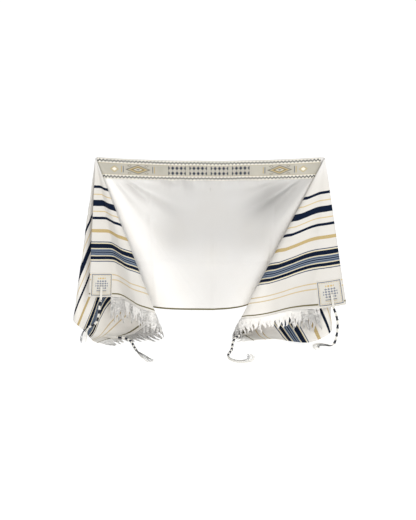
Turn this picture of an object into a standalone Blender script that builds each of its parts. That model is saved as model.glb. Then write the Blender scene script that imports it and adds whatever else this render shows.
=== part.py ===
"""A striped prayer shawl, hung by the two ends of its neckband.

The shawl is one woven cloth. Two corners of the neckband are held at the same height, the middle
hangs between them as a back panel, and each long end folds forward twice and falls in front.
Every straight line of cloth that starts at a held corner stays nearly straight, so each side is a
fan about its corner: a line at some angle in the cloth hangs at some swing and lean in space.
Metres, +Z up, +X to the right of someone facing the shawl, -Y towards them. The origin lies
midway between the two held corners.
"""

import math

import bmesh
import bpy
import numpy as np
from mathutils import Vector

# The cloth as it is cut
CLOTH_HEIGHT = 0.56
HELD_SPACING = 0.807
LEFT_END = 0.502
RIGHT_END = 0.520
HELD_X = HELD_SPACING / 2
WALL = 0.0012
SEAM = 0.0003
SEAM_SHARE = 3.0
WELD = 0.00002

# How it hangs
TABLE_DROP = 0.661
TABLE_BEND = 0.035
TABLE_CLEAR = 0.0045
LAYER_GAP = 0.005
APEX = 0.005
NECK_SAG = 0.014
BOWL_DEPTH = 0.05
BOWL_SPAN = 0.62
CREASE_ANGLE = 125.0
FOLD_ROUNDING = 4.0
APEX_RINGS = (0.0, 0.015, 0.05)
BEND_RING = 0.83
STRAIGHT_RINGS = 7
BEND_RINGS = 8

# What is sewn on the cloth
BAND_INSET = 0.015
BAND_TOP = 0.001
BAND_HEIGHT = 0.075
BAND_WALL = 0.0010
BAND_GAP = 0.0013
PATCH_SIDE = 0.084
PATCH_INSET_END = 0.003
PATCH_INSET_EDGE = 0.006
PATCH_WALL = 0.0010
PATCH_GAP = 0.0010
HOLE_FROM_END = 0.040
HOLE_FROM_EDGE = 0.046

# Fringe and corner tassels
STRIP = 0.004
STRAND_SWAY = 0.005
FRINGE_CELLS = 2
FRINGE_GAP = 0.0006
FRINGE_INSET = 0.0006
STRAND_ROOT = 0.002
STRAND_LENGTH = 0.085
STRAND_RADIUS = 0.0016
STRAND_STEPS = 3
TASSEL_RADIUS = 0.0028
TASSEL_SIDES = 8
TASSEL_STEP = 0.014
STRING_RADIUS = 0.0009
STRING_COUNT = 8
TASSEL_CLEAR = 0.021
TASSEL_SEAT = 0.0026
LOOP_KNOTS = 7
TIP_RISE = 0.001
SPLAY_START = 0.9
SPLAY_GROWTH = 2.0
SPLAY_TURN = 1.95

# Rows of a fan: angle in the cloth from the hanging top edge, swing from straight down towards
# the middle, lean towards the viewer, all in degrees. Past the last row the cloth hangs flat
LEFT_FAN = (
    (0.0, -3.5, 5.8),
    (5.5, 1.4, 4.4),
    (11.0, 6.2, 2.4),
    (16.0, 9.4, 1.2),
    (21.0, 12.4, 3.8),
    (26.0, 15.4, 6.6),
    (30.5, 18.9, 7.0),
    (32.5, 20.0, 6.2),
    (33.6, 20.3, 5.3),
    (34.7, 20.0, 4.4),
    (37.0, 17.6, 3.2),
    (39.9, 13.6, 0.8),
    (44.3, 7.8, -1.6),
    (48.1, 3.0, -0.6),
    (52.0, 0.2, 1.2),
    (56.0, -1.6, 2.0),
    (60.0, -3.8, 2.0),
    (64.0, -6.2, 3.2),
    (67.0, -8.0, 3.4),
    (68.5, -8.6, 2.5),
    (70.0, -8.2, 1.2),
    (74.0, -5.6, -1.8),
    (80.0, -1.6, -6.0),
    (86.0, 2.8, -8.8),
    (92.0, 8.0, -8.4),
    (98.0, 12.8, -5.2),
    (103.0, 16.4, -1.8),
    (107.0, 19.6, 0.8),
    (111.0, 23.2, 2.2),
    (117.0, 28.4, 2.2),
    (125.0, 35.0, 0.0),
)
RIGHT_FAN = (
    (0.0, -8.8, 7.0),
    (5.0, -3.0, 7.7),
    (10.0, 3.2, 7.4),
    (14.0, 6.6, 6.2),
    (20.0, 11.4, 5.2),
    (27.0, 17.2, 5.4),
    (33.0, 22.6, 4.8),
    (36.5, 25.6, 3.4),
    (38.5, 26.4, 2.0),
    (40.5, 26.0, 0.6),
    (43.5, 24.2, -0.2),
    (47.1, 21.4, 0.6),
    (50.8, 17.4, 1.8),
    (56.0, 10.2, 3.0),
    (59.5, 5.6, 4.2),
    (63.5, 1.4, 5.6),
    (67.5, -2.0, 5.6),
    (69.3, -2.8, 4.3),
    (71.1, -2.4, 2.8),
    (75.0, -0.6, -0.6),
    (81.0, 2.8, -5.8),
    (87.0, 6.8, -10.2),
    (92.0, 10.8, -12.6),
    (97.0, 15.2, -12.4),
    (102.0, 19.0, -9.6),
    (107.0, 22.2, -6.0),
    (111.0, 24.4, -3.0),
    (115.0, 27.0, -0.8),
    (120.0, 30.8, 0.2),
    (125.0, 35.0, 0.0),
)
SWING = 1
LEAN = 2
LEFT_FOLDS = (33.6, 68.5)
RIGHT_FOLDS = (38.5, 69.3)

# The foot of the right end is thrown forward, and its front fold is turned a little at the top
KICK_FORWARD = {"left": 0.0, "right": 0.08}
KICK_START = 0.36
KICK_FULL = 0.60
KICK_SWING = (0.0, 16.0)
FOLD_TWIST = {"left": 0.0, "right": 6.0}
TWIST_REACH = 0.66
TWIST_START = 0.12
TABLE_DRIFT = {"left": -0.28, "right": 0.0}

# Tassel routes from the hole in each corner: across from the held corner towards the middle,
# towards the viewer, and down from it
LEFT_PATCH_TASSEL = (
    (0.008, 0.066, 0.532),
    (0.005, 0.068, 0.560),
    (-0.002, 0.070, 0.586),
    (-0.014, 0.071, 0.600),
    (-0.032, 0.072, 0.609),
    (-0.045, 0.075, 0.624),
    (-0.049, 0.081, 0.642),
    (-0.049, 0.090, 0.655),
    (-0.048, 0.104, 0.657),
)
LEFT_LOWER_TASSEL = (
    (0.070, 0.064, 0.651),
    (0.090, 0.070, 0.650),
    (0.108, 0.084, 0.650),
    (0.122, 0.110, 0.651),
    (0.133, 0.146, 0.656),
    (0.145, 0.188, 0.657),
    (0.160, 0.225, 0.657),
    (0.181, 0.262, 0.657),
    (0.208, 0.302, 0.657),
)
RIGHT_PATCH_TASSEL = (
    (-0.042, 0.148, 0.542),
    (-0.046, 0.156, 0.568),
    (-0.044, 0.160, 0.602),
    (-0.038, 0.156, 0.634),
    (-0.028, 0.144, 0.653),
    (-0.010, 0.126, 0.657),
    (0.012, 0.122, 0.657),
    (0.028, 0.136, 0.657),
    (0.026, 0.158, 0.657),
    (0.008, 0.170, 0.657),
)
RIGHT_LOWER_TASSEL = (
    (0.292, 0.060, 0.643),
    (0.300, 0.077, 0.640),
    (0.311, 0.096, 0.639),
    (0.320, 0.118, 0.642),
    (0.325, 0.145, 0.650),
    (0.328, 0.176, 0.656),
    (0.336, 0.207, 0.657),
    (0.341, 0.236, 0.657),
    (0.334, 0.268, 0.657),
    (0.308, 0.292, 0.657),
    (0.272, 0.286, 0.657),
    (0.260, 0.250, 0.657),
    (0.273, 0.205, 0.657),
)

COLORS = {
    "woven_cloth": (0.90, 0.90, 0.88),
    "neckband_sateen": (0.66, 0.63, 0.54),
    "patch_sateen": (0.70, 0.66, 0.56),
    "fringe_yarn": (0.90, 0.90, 0.87),
    "tassel_cord": (0.35, 0.37, 0.45),
}


def clear_scene():
    """Start from an empty scene."""
    for item in list(bpy.data.objects):
        bpy.data.objects.remove(item, do_unlink=True)


def make_material(name, roughness):
    """A plain material in the colour of one of the shawl's stuffs."""
    material = bpy.data.materials.new(name)
    material.use_nodes = True
    shader = material.node_tree.nodes["Principled BSDF"]
    shader.inputs["Base Color"].default_value = (*COLORS[name], 1.0)
    shader.inputs["Roughness"].default_value = roughness
    shader.inputs["Metallic"].default_value = 0.0
    return material


def ramp(value, low, high):
    """0 below low, 1 above high, and a smooth step between them."""
    t = np.clip((value - low) / (high - low), 0.0, 1.0)
    return t * t * (3.0 - 2.0 * t)


def fan_column(fan, column, angle):
    """One column of a fan at the given cloth angles, on a smooth curve through its rows."""
    rows = np.array(fan)
    knots = rows[:, 0]
    values = rows[:, column]
    slopes = np.gradient(values, knots)
    index = np.clip(np.searchsorted(knots, angle) - 1, 0, len(knots) - 2)
    span = knots[index + 1] - knots[index]
    t = (angle - knots[index]) / span
    start = (1 + 2 * t) * (1 - t) ** 2 * values[index] + t * (1 - t) ** 2 * span * slopes[index]
    end = t * t * (3 - 2 * t) * values[index + 1] + t * t * (t - 1) * span * slopes[index + 1]
    flat = angle - 90.0 if column == SWING else 0.0 * angle
    return np.where(angle >= CREASE_ANGLE, flat, start + end)


def side_points(side, reach, angle):
    """Points of one half of the cloth, from their distance and angle about its held corner."""
    fan = LEFT_FAN if side == "left" else RIGHT_FAN
    first_fold, second_fold = LEFT_FOLDS if side == "left" else RIGHT_FOLDS
    rising = np.clip(angle / first_fold, 0.0, 1.0)
    falling = np.clip((second_fold - angle) / (second_fold - first_fold), 0.0, 1.0)
    twist = FOLD_TWIST[side] * np.clip(1.0 - (reach / TWIST_REACH) ** 4, 0.0, 1.0)
    twist = twist * ramp(reach, 0.0, TWIST_START)
    turned = angle - twist * np.minimum(rising, falling)
    swing = np.radians(fan_column(fan, SWING, turned))
    lean = np.radians(fan_column(fan, LEAN, turned))
    ray = np.stack([np.sin(swing) * np.cos(lean), np.sin(lean), np.cos(swing) * np.cos(lean)])

    behind = (ramp(turned, first_fold - FOLD_ROUNDING, first_fold + FOLD_ROUNDING)
              + ramp(turned, second_fold - FOLD_ROUNDING, second_fold + FOLD_ROUNDING))
    depth = LAYER_GAP * (2.0 - behind)

    table = np.array([TABLE_DRIFT[side], 1.0, 0.0])
    table = table / np.linalg.norm(table)
    level = TABLE_DROP - TABLE_CLEAR - LAYER_GAP * (1.0 - np.minimum(behind, 1.0))
    start = (level - TABLE_BEND) / np.maximum(ray[2], 0.2)
    cosine = np.einsum("i...,i->...", ray, table)
    quarter = np.arccos(cosine)
    across = (table.reshape(3, *[1] * cosine.ndim) - ray * cosine) / np.sin(quarter)
    bent = np.clip((reach - start) / TABLE_BEND, 0.0, quarter)
    flat = np.maximum(reach - start - TABLE_BEND * quarter, 0.0)
    point = ray * (np.minimum(reach, start) + TABLE_BEND * np.sin(bent))
    point = point + across * TABLE_BEND * (1.0 - np.cos(bent))
    point = point + table.reshape(3, *[1] * cosine.ndim) * flat

    thrown = np.clip((reach - KICK_START) / (KICK_FULL - KICK_START), 0.0, 1.2) ** 2
    swing_share = 1.0 - ramp(np.degrees(swing), *KICK_SWING)
    forward = point[1] + depth + KICK_FORWARD[side] * thrown * swing_share

    sign = 1.0 if side == "left" else -1.0
    x = sign * (point[0] - HELD_X)
    y = -forward
    z = -point[2]
    share = ramp(angle, second_fold, CREASE_ANGLE)
    middle = np.clip(1.0 - (x / HELD_X) ** 2, 0.0, 1.0)
    y = y + share * BOWL_DEPTH * middle * np.sin(math.pi * np.clip(-z / BOWL_SPAN, 0.0, 1.0))
    z = z - share * NECK_SAG * middle
    return np.stack([x, y, z], axis=-1)


def cloth_points(along, down):
    """Points of the hung cloth, from the cut cloth's own two directions.

    along runs from the middle of the neck edge, to the right, and down runs from the neck edge.
    """
    along = np.asarray(along, dtype=float)
    down = np.asarray(down, dtype=float)
    outward = np.abs(along) - HELD_X
    reach = np.hypot(outward, down)
    angle = np.degrees(np.arctan2(down, outward))
    left = side_points("left", reach, angle)
    right = side_points("right", reach, angle)
    return np.where((along < 0.0)[..., None], left, right)


def cloth_normals(along, down):
    """Unit normals on the cloth's face, the one that carries the neckband."""
    step = 0.0005
    along = np.asarray(along, dtype=float)
    down = np.asarray(down, dtype=float)
    inward = np.where(along < 0.0, step, -step)
    sideways = (cloth_points(along + inward, down) - cloth_points(along, down)) / inward[..., None]
    lower = np.maximum(down - step, 0.0)
    upper = down + step
    downward = cloth_points(along, upper) - cloth_points(along, lower)
    normal = np.cross(downward, sideways)
    return normal / np.linalg.norm(normal, axis=-1, keepdims=True)


def wall_object(name, sheets, thickness, material):
    """A closed wall on one or more grids of points and normals, welded where the grids meet."""
    middle = np.empty((0, 3))
    normals = np.empty((0, 3))
    quads = []
    for points, directions in sheets:
        welds = middle
        grid = []
        for row, directions_row in zip(points, directions):
            line = []
            for point, direction in zip(row, directions_row):
                near = np.flatnonzero(np.linalg.norm(welds - point, axis=1) < WELD)
                if len(near) == 0:
                    near = [len(middle)]
                    middle = np.vstack([middle, point])
                    normals = np.vstack([normals, direction])
                line.append(int(near[0]))
            grid.append(line)
        for upper, lower in zip(grid, grid[1:]):
            quads.extend(zip(upper, upper[1:], lower[1:], lower))
    count = len(middle)
    faces = list(quads)
    faces.extend(tuple(k + count for k in reversed(quad)) for quad in quads)
    edges = [edge for quad in quads for edge in zip(quad, quad[1:] + quad[:1])]
    shared = set(edges)
    open_edges = [edge for edge in edges if (edge[1], edge[0]) not in shared]
    for start, end in open_edges:
        faces.append((end, start, start + count, end + count))
    points = np.concatenate([middle + normals * thickness / 2, middle - normals * thickness / 2])
    return closed_object(name, points, faces, material)


def closed_object(name, points, faces, material):
    """A named object of one closed body, its faces pointing out."""
    mesh = bpy.data.meshes.new(name)
    mesh.from_pydata([tuple(point) for point in points], [], faces)
    work = bmesh.new()
    work.from_mesh(mesh)
    bmesh.ops.recalc_face_normals(work, faces=work.faces)
    work.to_mesh(mesh)
    work.free()
    item = bpy.data.objects.new(name, mesh)
    item.data.materials.append(material)
    bpy.context.scene.collection.objects.link(item)
    return item


def end_length(side):
    """Length of the cloth from a held corner to its short end."""
    return LEFT_END if side == "left" else RIGHT_END


def fan_grid(side, angles, rings, from_seam, to_seam):
    """Points and normals between two cloth angles, from near the held corner to the edge."""
    outline = []
    for angle in np.radians(angles):
        edges = [CLOTH_HEIGHT / max(math.sin(angle), 1e-6)]
        if math.cos(angle) > 1e-6:
            edges.append(end_length(side) / math.cos(angle))
        if math.cos(angle) < -1e-6:
            edges.append(HELD_X / -math.cos(angle))
        outline.append(min(edges))
    share = np.array(rings)[:, None]
    reach = APEX + (np.array(outline)[None, :] - APEX) * share
    slip = SEAM / 2 / reach
    across = (np.array(angles) - angles[0]) / (angles[-1] - angles[0])
    near_start = np.clip(1.0 - SEAM_SHARE * across, 0.0, 1.0)
    near_end = np.clip(1.0 - SEAM_SHARE * (1.0 - across), 0.0, 1.0)
    turn = np.radians(angles) + slip * (from_seam * near_start - to_seam * near_end)
    sign = -1.0 if side == "left" else 1.0
    along = sign * (HELD_X + reach * np.cos(turn))
    down = reach * np.sin(turn)
    points = cloth_points(along, down)
    normals = cloth_normals(along, down)
    if side == "left":
        points = points[:, ::-1]
        normals = normals[:, ::-1]
    return points, normals


def spread(start, end, count):
    """count + 1 evenly spaced angles."""
    return list(np.linspace(start, end, count + 1))


def corner_angle(side):
    """Cloth angle of the lower corner."""
    return math.degrees(math.atan2(CLOTH_HEIGHT, end_length(side)))


def front_angles(side):
    """Cloth angles of the front fold's columns."""
    return spread(0.0, (LEFT_FOLDS if side == "left" else RIGHT_FOLDS)[0], 14)


def end_angles(side):
    """Cloth angles of the middle fold's columns, from the front fold to the lower corner."""
    return spread((LEFT_FOLDS if side == "left" else RIGHT_FOLDS)[0], corner_angle(side), 8)


def build_cloth(material):
    """The five stretches of the cloth: the back panel and two folds on each side."""
    rings = list(APEX_RINGS)
    rings += spread(APEX_RINGS[-1], BEND_RING, STRAIGHT_RINGS)[1:]
    rings += spread(BEND_RING, 1.0, BEND_RINGS)[1:]
    halves = []
    for side in ("left", "right"):
        first, second = LEFT_FOLDS if side == "left" else RIGHT_FOLDS
        middle = math.degrees(math.atan2(CLOTH_HEIGHT, -HELD_X))
        front = fan_grid(side, front_angles(side), rings, 0.0, 1.0)
        wall_object(side + "_front_fold", [front], WALL, material)
        rear_angles = end_angles(side) + spread(corner_angle(side), second, 9)[1:]
        rear = fan_grid(side, rear_angles, rings, 1.0, 1.0)
        wall_object(side + "_middle_fold", [rear], WALL, material)
        back_angles = spread(second, middle, 20) + spread(middle, 180.0, 10)[1:]
        halves.append(fan_grid(side, back_angles, rings, 1.0, 0.0))
    wall_object("back_panel", halves, WALL, material)


def raised_grid(along, down, gap, thickness):
    """Points and normals of a piece that lies on the cloth's face, its points moved out."""
    grid_along, grid_down = np.meshgrid(along, down)
    normals = cloth_normals(grid_along, grid_down)
    offset = WALL / 2 + gap + thickness / 2
    return cloth_points(grid_along, grid_down) + offset * normals, normals


def build_band(material):
    """The neckband along the neck edge, between the two held corners."""
    reach = HELD_X - BAND_INSET
    along = reach * np.sin(np.linspace(-math.pi / 2, math.pi / 2, 47))
    down = np.linspace(BAND_TOP, BAND_TOP + BAND_HEIGHT, 8)
    wall_object("neckband", [raised_grid(along, down, BAND_GAP, BAND_WALL)], BAND_WALL, material)


def corner_names():
    """Name, side and whether it is at the neck edge, for each corner of the cloth."""
    return (
        ("left_upper", "left", True),
        ("left_lower", "left", False),
        ("right_upper", "right", True),
        ("right_lower", "right", False),
    )


def corner_place(side, upper, from_end, from_edge):
    """Cloth position of a point near a corner, from its end and its long edge."""
    sign = -1.0 if side == "left" else 1.0
    along = sign * (HELD_X + end_length(side) - from_end)
    down = from_edge if upper else CLOTH_HEIGHT - from_edge
    return along, down


def build_patches(material):
    """A square patch sewn on the face of each corner."""
    for name, side, upper in corner_names():
        near = corner_place(side, upper, PATCH_INSET_END, PATCH_INSET_EDGE)
        far = corner_place(side, upper, PATCH_INSET_END + PATCH_SIDE, PATCH_INSET_EDGE + PATCH_SIDE)
        along = np.linspace(near[0], far[0], 7)
        down = np.linspace(near[1], far[1], 7)
        grid = raised_grid(along, down, PATCH_GAP, PATCH_WALL)
        wall_object(name + "_patch", [grid], PATCH_WALL, material)


class Skein:
    """Vertices and faces of a backing and the strands that grow out of it."""

    def __init__(self):
        self.points = []
        self.faces = []

    def add(self, point):
        """Add a vertex and give its number."""
        self.points.append(Vector(point))
        return len(self.points) - 1

    def strand(self, cell, path, radius):
        """Grow a strand out of a backing's cell, along a path that starts at the cell."""
        corners = [self.points[k] for k in cell]
        centre = sum(corners, Vector()) / len(corners)
        heading = (Vector(path[1]) - Vector(path[0])).normalized()
        spokes = [corner - centre for corner in corners]
        spokes = [(spoke - heading * spoke.dot(heading)).normalized() for spoke in spokes]
        ring = list(cell)
        for k, spot in enumerate(path):
            ahead = Vector(path[min(k + 1, len(path) - 1)]) - Vector(path[max(k - 1, 0)])
            ahead.normalize()
            turn = heading.rotation_difference(ahead)
            spokes = [turn @ spoke for spoke in spokes]
            heading = ahead
            grown = [self.add(Vector(spot) + spoke * radius) for spoke in spokes]
            for a, b, c, d in zip(ring, ring[1:] + ring[:1], grown[1:] + grown[:1], grown):
                self.faces.append((a, b, c, d))
            ring = grown
        self.faces.append(tuple(ring))


def between(values, cells, inset):
    """Values on straight runs between the given ones, with so many cells to a run."""
    runs = np.arange(len(values))
    marks = np.linspace(0, len(values) - 1, (len(values) - 1) * cells + 1)
    marks[0] += inset[0]
    marks[-1] -= inset[-1]
    return np.stack([np.interp(marks, runs, column) for column in np.array(values).T], axis=-1)


def fringe_stretch(name, side, angles, bare, material):
    """Fringe of one stretch of a short end: a strip along the hem, bare at first, with strands."""
    sign = -1.0 if side == "left" else 1.0
    hem = HELD_X + end_length(side)
    heights = end_length(side) * np.tan(np.radians(angles))
    inset = FRINGE_INSET / (heights[1:] - heights[:-1])
    skein = Skein()
    corners = []
    for beyond in (FRINGE_GAP, FRINGE_GAP + STRIP):
        along = np.full_like(heights, sign * (hem + beyond))
        points = between(cloth_points(along, heights), FRINGE_CELLS, inset)
        normals = between(cloth_normals(along, heights), FRINGE_CELLS, inset)
        for face in (1.0, -1.0):
            corners.append([skein.add(p + face * n * WALL / 2) for p, n in zip(points, normals)])
    top_front, top_back, foot_front, foot_back = corners
    marks = between(heights[:, None], FRINGE_CELLS, inset)[:, 0]
    holes = [corner_place(side, upper, 0.0, HOLE_FROM_EDGE)[1] for upper in (True, False)]
    count = len(marks) - 1
    for k in range(count):
        skein.faces.append((top_front[k], top_front[k + 1], foot_front[k + 1], foot_front[k]))
        skein.faces.append((top_back[k + 1], top_back[k], foot_back[k], foot_back[k + 1]))
        skein.faces.append((top_back[k], top_back[k + 1], top_front[k + 1], top_front[k]))
        cell = (foot_front[k], foot_front[k + 1], foot_back[k + 1], foot_back[k])
        middle = (marks[k] + marks[k + 1]) / 2
        if k < bare or min(abs(middle - hole) for hole in holes) < TASSEL_CLEAR:
            skein.faces.append(cell)
            continue
        steps = np.linspace(STRAND_ROOT, STRAND_LENGTH, STRAND_STEPS + 1)
        sway = STRAND_SWAY * math.sin(2.4 * k)
        along = sign * (hem + FRINGE_GAP + STRIP + steps)
        path = cloth_points(along, middle + sway * steps / STRAND_LENGTH)
        skein.strand(cell, [tuple(spot) for spot in path], STRAND_RADIUS)
    for k in (0, count):
        skein.faces.append((top_front[k], foot_front[k], foot_back[k], top_back[k]))
    closed_object(name, skein.points, skein.faces, material)


def build_fringe(material):
    """Fringe on both short ends, one piece for each stretch between folds."""
    for side in ("left", "right"):
        fringe_stretch(side + "_front_fringe", side, front_angles(side), 0, material)
        fringe_stretch(side + "_middle_fringe", side, end_angles(side), 1, material)


def smooth_route(knots, step):
    """Evenly spaced points on a smooth curve through the knots."""
    knots = [Vector(knot) for knot in knots]
    dense = []
    for k in range(len(knots) - 1):
        before = knots[max(k - 1, 0)]
        after = knots[min(k + 2, len(knots) - 1)]
        for j in range(16):
            t = j / 16
            a = 2 * knots[k]
            b = knots[k + 1] - before
            c = 2 * before - 5 * knots[k] + 4 * knots[k + 1] - after
            d = 3 * knots[k] - before - 3 * knots[k + 1] + after
            dense.append((a + b * t + c * t * t + d * t ** 3) / 2)
    dense.append(knots[-1])
    length = sum((q - p).length for p, q in zip(dense, dense[1:]))
    count = max(round(length / step), 2)
    spots = []
    travelled = 0.0
    for p, q in zip(dense, dense[1:]):
        stretch = (q - p).length
        while len(spots) <= count and len(spots) * length / count <= travelled + stretch + 1e-9:
            share = (len(spots) * length / count - travelled) / max(stretch, 1e-9)
            spots.append(p.lerp(q, min(share, 1.0)))
        travelled += stretch
    return spots


def carried_frames(path):
    """Heading and two directions across it at each point, carried along without twisting."""
    heading = (path[1] - path[0]).normalized()
    spoke = heading.orthogonal().normalized()
    frames = []
    for k in range(len(path)):
        ahead = (path[min(k + 1, len(path) - 1)] - path[max(k - 1, 0)]).normalized()
        spoke = heading.rotation_difference(ahead) @ spoke
        heading = ahead
        frames.append((heading, spoke, heading.cross(spoke)))
    return frames


def tassel(name, side, upper, route, wound_share, touch, material):
    """One corner tassel: a loop round the hem, a wound length and eight loose strings."""
    sign = 1.0 if side == "left" else -1.0
    knots = [(sign * (u - HELD_X), -forward, -down) for u, forward, down in route]
    facing = 1.0 if upper else -1.0
    seat = WALL / 2 + TASSEL_RADIUS + (PATCH_GAP + PATCH_WALL if upper else 0.0)
    loop = []
    for k, from_end in enumerate(np.linspace(HOLE_FROM_END, -STRIP, LOOP_KNOTS)):
        lift = facing * (seat + (touch if k == 0 else TASSEL_SEAT))
        along, down = corner_place(side, upper, from_end, HOLE_FROM_EDGE)
        spot = cloth_points(np.array(along), np.array(down))
        loop.append(spot + lift * cloth_normals(np.array(along), np.array(down)))
    knots = loop + knots
    path = smooth_route(knots, TASSEL_STEP)
    wound = path[:int(len(path) * wound_share)]
    loose = path[int(len(path) * wound_share):]
    skein = Skein()
    frames = carried_frames(path)
    rings = []
    for spot, (_, spoke, side_spoke) in zip(wound, frames):
        ring = []
        for j in range(TASSEL_SIDES):
            bend = 2 * math.pi * j / TASSEL_SIDES
            out = spoke * math.cos(bend) + side_spoke * math.sin(bend)
            ring.append(skein.add(spot + out * TASSEL_RADIUS))
        rings.append(ring)
    for ring, grown in zip(rings, rings[1:]):
        for j in range(TASSEL_SIDES):
            n = (j + 1) % TASSEL_SIDES
            skein.faces.append((ring[j], ring[n], grown[n], grown[j]))
    skein.faces.append(tuple(reversed(rings[0])))
    tip = skein.add(wound[-1] + frames[len(wound) - 1][0] * TIP_RISE)
    reach = len(loose)
    for j in range(STRING_COUNT):
        n = (j + 1) % TASSEL_SIDES
        cell = (rings[-1][j], rings[-1][n], tip)
        bend = 2 * math.pi * (j + 0.5) / STRING_COUNT
        strand = []
        for k, (spot, (_, spoke, side_spoke)) in enumerate(zip(loose, frames[len(wound):])):
            out = (spoke * math.cos(bend) + side_spoke * math.sin(bend)) * TASSEL_RADIUS
            splay = SPLAY_START + SPLAY_GROWTH * math.sin(SPLAY_TURN * k / reach)
            strand.append(spot + Vector((out.x * splay, out.y * splay, out.z)))
        strand = strand[:reach - (j % 3)]
        skein.strand(cell, strand, STRING_RADIUS)
    closed_object(name, skein.points, skein.faces, material)


def build_tassels(material):
    """The four corner tassels, each by its route, wound share and clearance at the hole."""
    routes = {
        "left_upper": (LEFT_PATCH_TASSEL, 0.70, 0.0005),
        "left_lower": (LEFT_LOWER_TASSEL, 0.60, 0.0005),
        "right_upper": (RIGHT_PATCH_TASSEL, 0.62, 0.0005),
        "right_lower": (RIGHT_LOWER_TASSEL, 0.55, 0.0024),
    }
    for name, side, upper in corner_names():
        route, wound_share, touch = routes[name]
        tassel(name + "_tassel", side, upper, route, wound_share, touch, material)


def build_shawl():
    """Build every piece of the shawl."""
    clear_scene()
    build_cloth(make_material("woven_cloth", 0.75))
    build_band(make_material("neckband_sateen", 0.5))
    build_patches(make_material("patch_sateen", 0.5))
    build_fringe(make_material("fringe_yarn", 0.8))
    build_tassels(make_material("tassel_cord", 0.7))


build_shawl()
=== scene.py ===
# %% [markdown]
# # A prayer shawl hung by the ends of its neckband
#
# The shawl is one long woven cloth with a ribbon sewn along its neck edge, a square patch and a
# knotted tassel at each corner, and a fringe on both short ends. It hangs from two points, so its
# two ends fold forward and fan out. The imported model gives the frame: its stretches of cloth are
# plain solids in the right place. This script dresses them with one continuous cloth, woven
# stripes, thread, twisted yarn and wound cord.

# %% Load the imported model
import math

import bmesh
import bpy
import numpy as np
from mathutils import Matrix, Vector, noise


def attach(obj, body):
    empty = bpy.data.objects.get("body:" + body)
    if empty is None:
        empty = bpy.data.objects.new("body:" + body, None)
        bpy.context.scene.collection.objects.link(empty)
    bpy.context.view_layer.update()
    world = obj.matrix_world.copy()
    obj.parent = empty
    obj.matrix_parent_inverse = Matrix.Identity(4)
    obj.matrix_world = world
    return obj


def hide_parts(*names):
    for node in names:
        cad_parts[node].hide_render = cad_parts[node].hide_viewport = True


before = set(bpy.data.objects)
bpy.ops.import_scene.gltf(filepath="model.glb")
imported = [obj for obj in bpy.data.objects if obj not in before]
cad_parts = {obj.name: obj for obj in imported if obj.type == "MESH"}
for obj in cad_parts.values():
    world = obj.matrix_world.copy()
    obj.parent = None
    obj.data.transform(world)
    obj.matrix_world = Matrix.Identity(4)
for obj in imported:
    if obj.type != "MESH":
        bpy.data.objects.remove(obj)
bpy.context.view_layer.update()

# %% [markdown]
# ## Helpers
#
# Colours are written as the hex values one would read off a screen, and Blender mixes light in
# linear values, so one function turns the first into the second. A second function adds a shader
# or geometry node, sets its properties and links or fills its inputs in one call. Patterns are
# worked out from an output by long sums, so an output can be wrapped as a Number: each sum that is
# written on it adds the node for that sum.

# %% Colour and node helpers
# Half of the soft edge that a woven motif has, in metres
EDGE_SOFTNESS = 0.00035


def linear(hex_colour):
    """Linear RGBA of an sRGB hex colour such as "#c8a862"."""
    parts = [int(hex_colour[k:k + 2], 16) / 255 for k in (1, 3, 5)]
    return (*[p / 12.92 if p <= 0.04045 else ((p + 0.055) / 1.055) ** 2.4 for p in parts], 1.0)


def add_node(tree, kind, inputs=None, **settings):
    """Add a node, set its properties, and link or fill its inputs by name or number."""
    node = tree.nodes.new(kind)
    for key, value in settings.items():
        setattr(node, key, value)
    for key, value in (inputs or {}).items():
        if isinstance(value, Number):
            value = value.socket
        if isinstance(value, bpy.types.NodeSocket):
            tree.links.new(value, node.inputs[key])
        else:
            node.inputs[key].default_value = value
    return node


class Number:
    """A node's output that sums are written on, as on a plain number."""

    def __init__(self, tree, socket):
        self.tree = tree
        self.socket = socket

    def sum(self, operation, other=0.0):
        """The number after one sum, with another number or output."""
        node = add_node(self.tree, "ShaderNodeMath", {0: self, 1: other}, operation=operation)
        return Number(self.tree, node.outputs[0])

    def __add__(self, other):
        return self.sum("ADD", other)

    def __sub__(self, other):
        return self.sum("SUBTRACT", other)

    def __mul__(self, other):
        return self.sum("MULTIPLY", other)

    def __abs__(self):
        return self.sum("ABSOLUTE")

    def fade(self, full, gone):
        """1 at the first value, 0 at the second, and a smooth step between them."""
        node = add_node(self.tree, "ShaderNodeMapRange", {
            "Value": self, "From Min": gone, "From Max": full, "To Min": 0.0, "To Max": 1.0},
            interpolation_type="SMOOTHSTEP")
        return Number(self.tree, node.outputs[0])

    def below(self, limit):
        """1 under the limit, with a soft edge."""
        return self.fade(limit - EDGE_SOFTNESS, limit + EDGE_SOFTNESS)

    def away(self, centre):
        """How far the number is from a centre."""
        return abs(self - centre)

    def repeated(self, period):
        """How far the number is from the middle of its own repeat."""
        return self.sum("FLOORED_MODULO", period).away(period / 2)


# %% Material and object helpers


def new_material(name, values):
    """A node material with values set on its Principled shader, and its tree and shader."""
    material = bpy.data.materials.new(name)
    material.use_nodes = True
    shader = material.node_tree.nodes["Principled BSDF"]
    for key, value in values.items():
        shader.inputs[key].default_value = value
    return material, material.node_tree, shader


def dress(tree, shader, colour, height, strength, distance):
    """Give a shader its colour and its bump."""
    bump = add_node(tree, "ShaderNodeBump", {
        "Height": height, "Strength": strength, "Distance": distance})
    tree.links.new(colour, shader.inputs["Base Color"])
    tree.links.new(bump.outputs["Normal"], shader.inputs["Normal"])


def put(name, data):
    """A new object in the scene."""
    piece = bpy.data.objects.new(name, data)
    bpy.context.scene.collection.objects.link(piece)
    return piece


print("navy in linear light", [round(c, 4) for c in linear("#04142c")])

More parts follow.
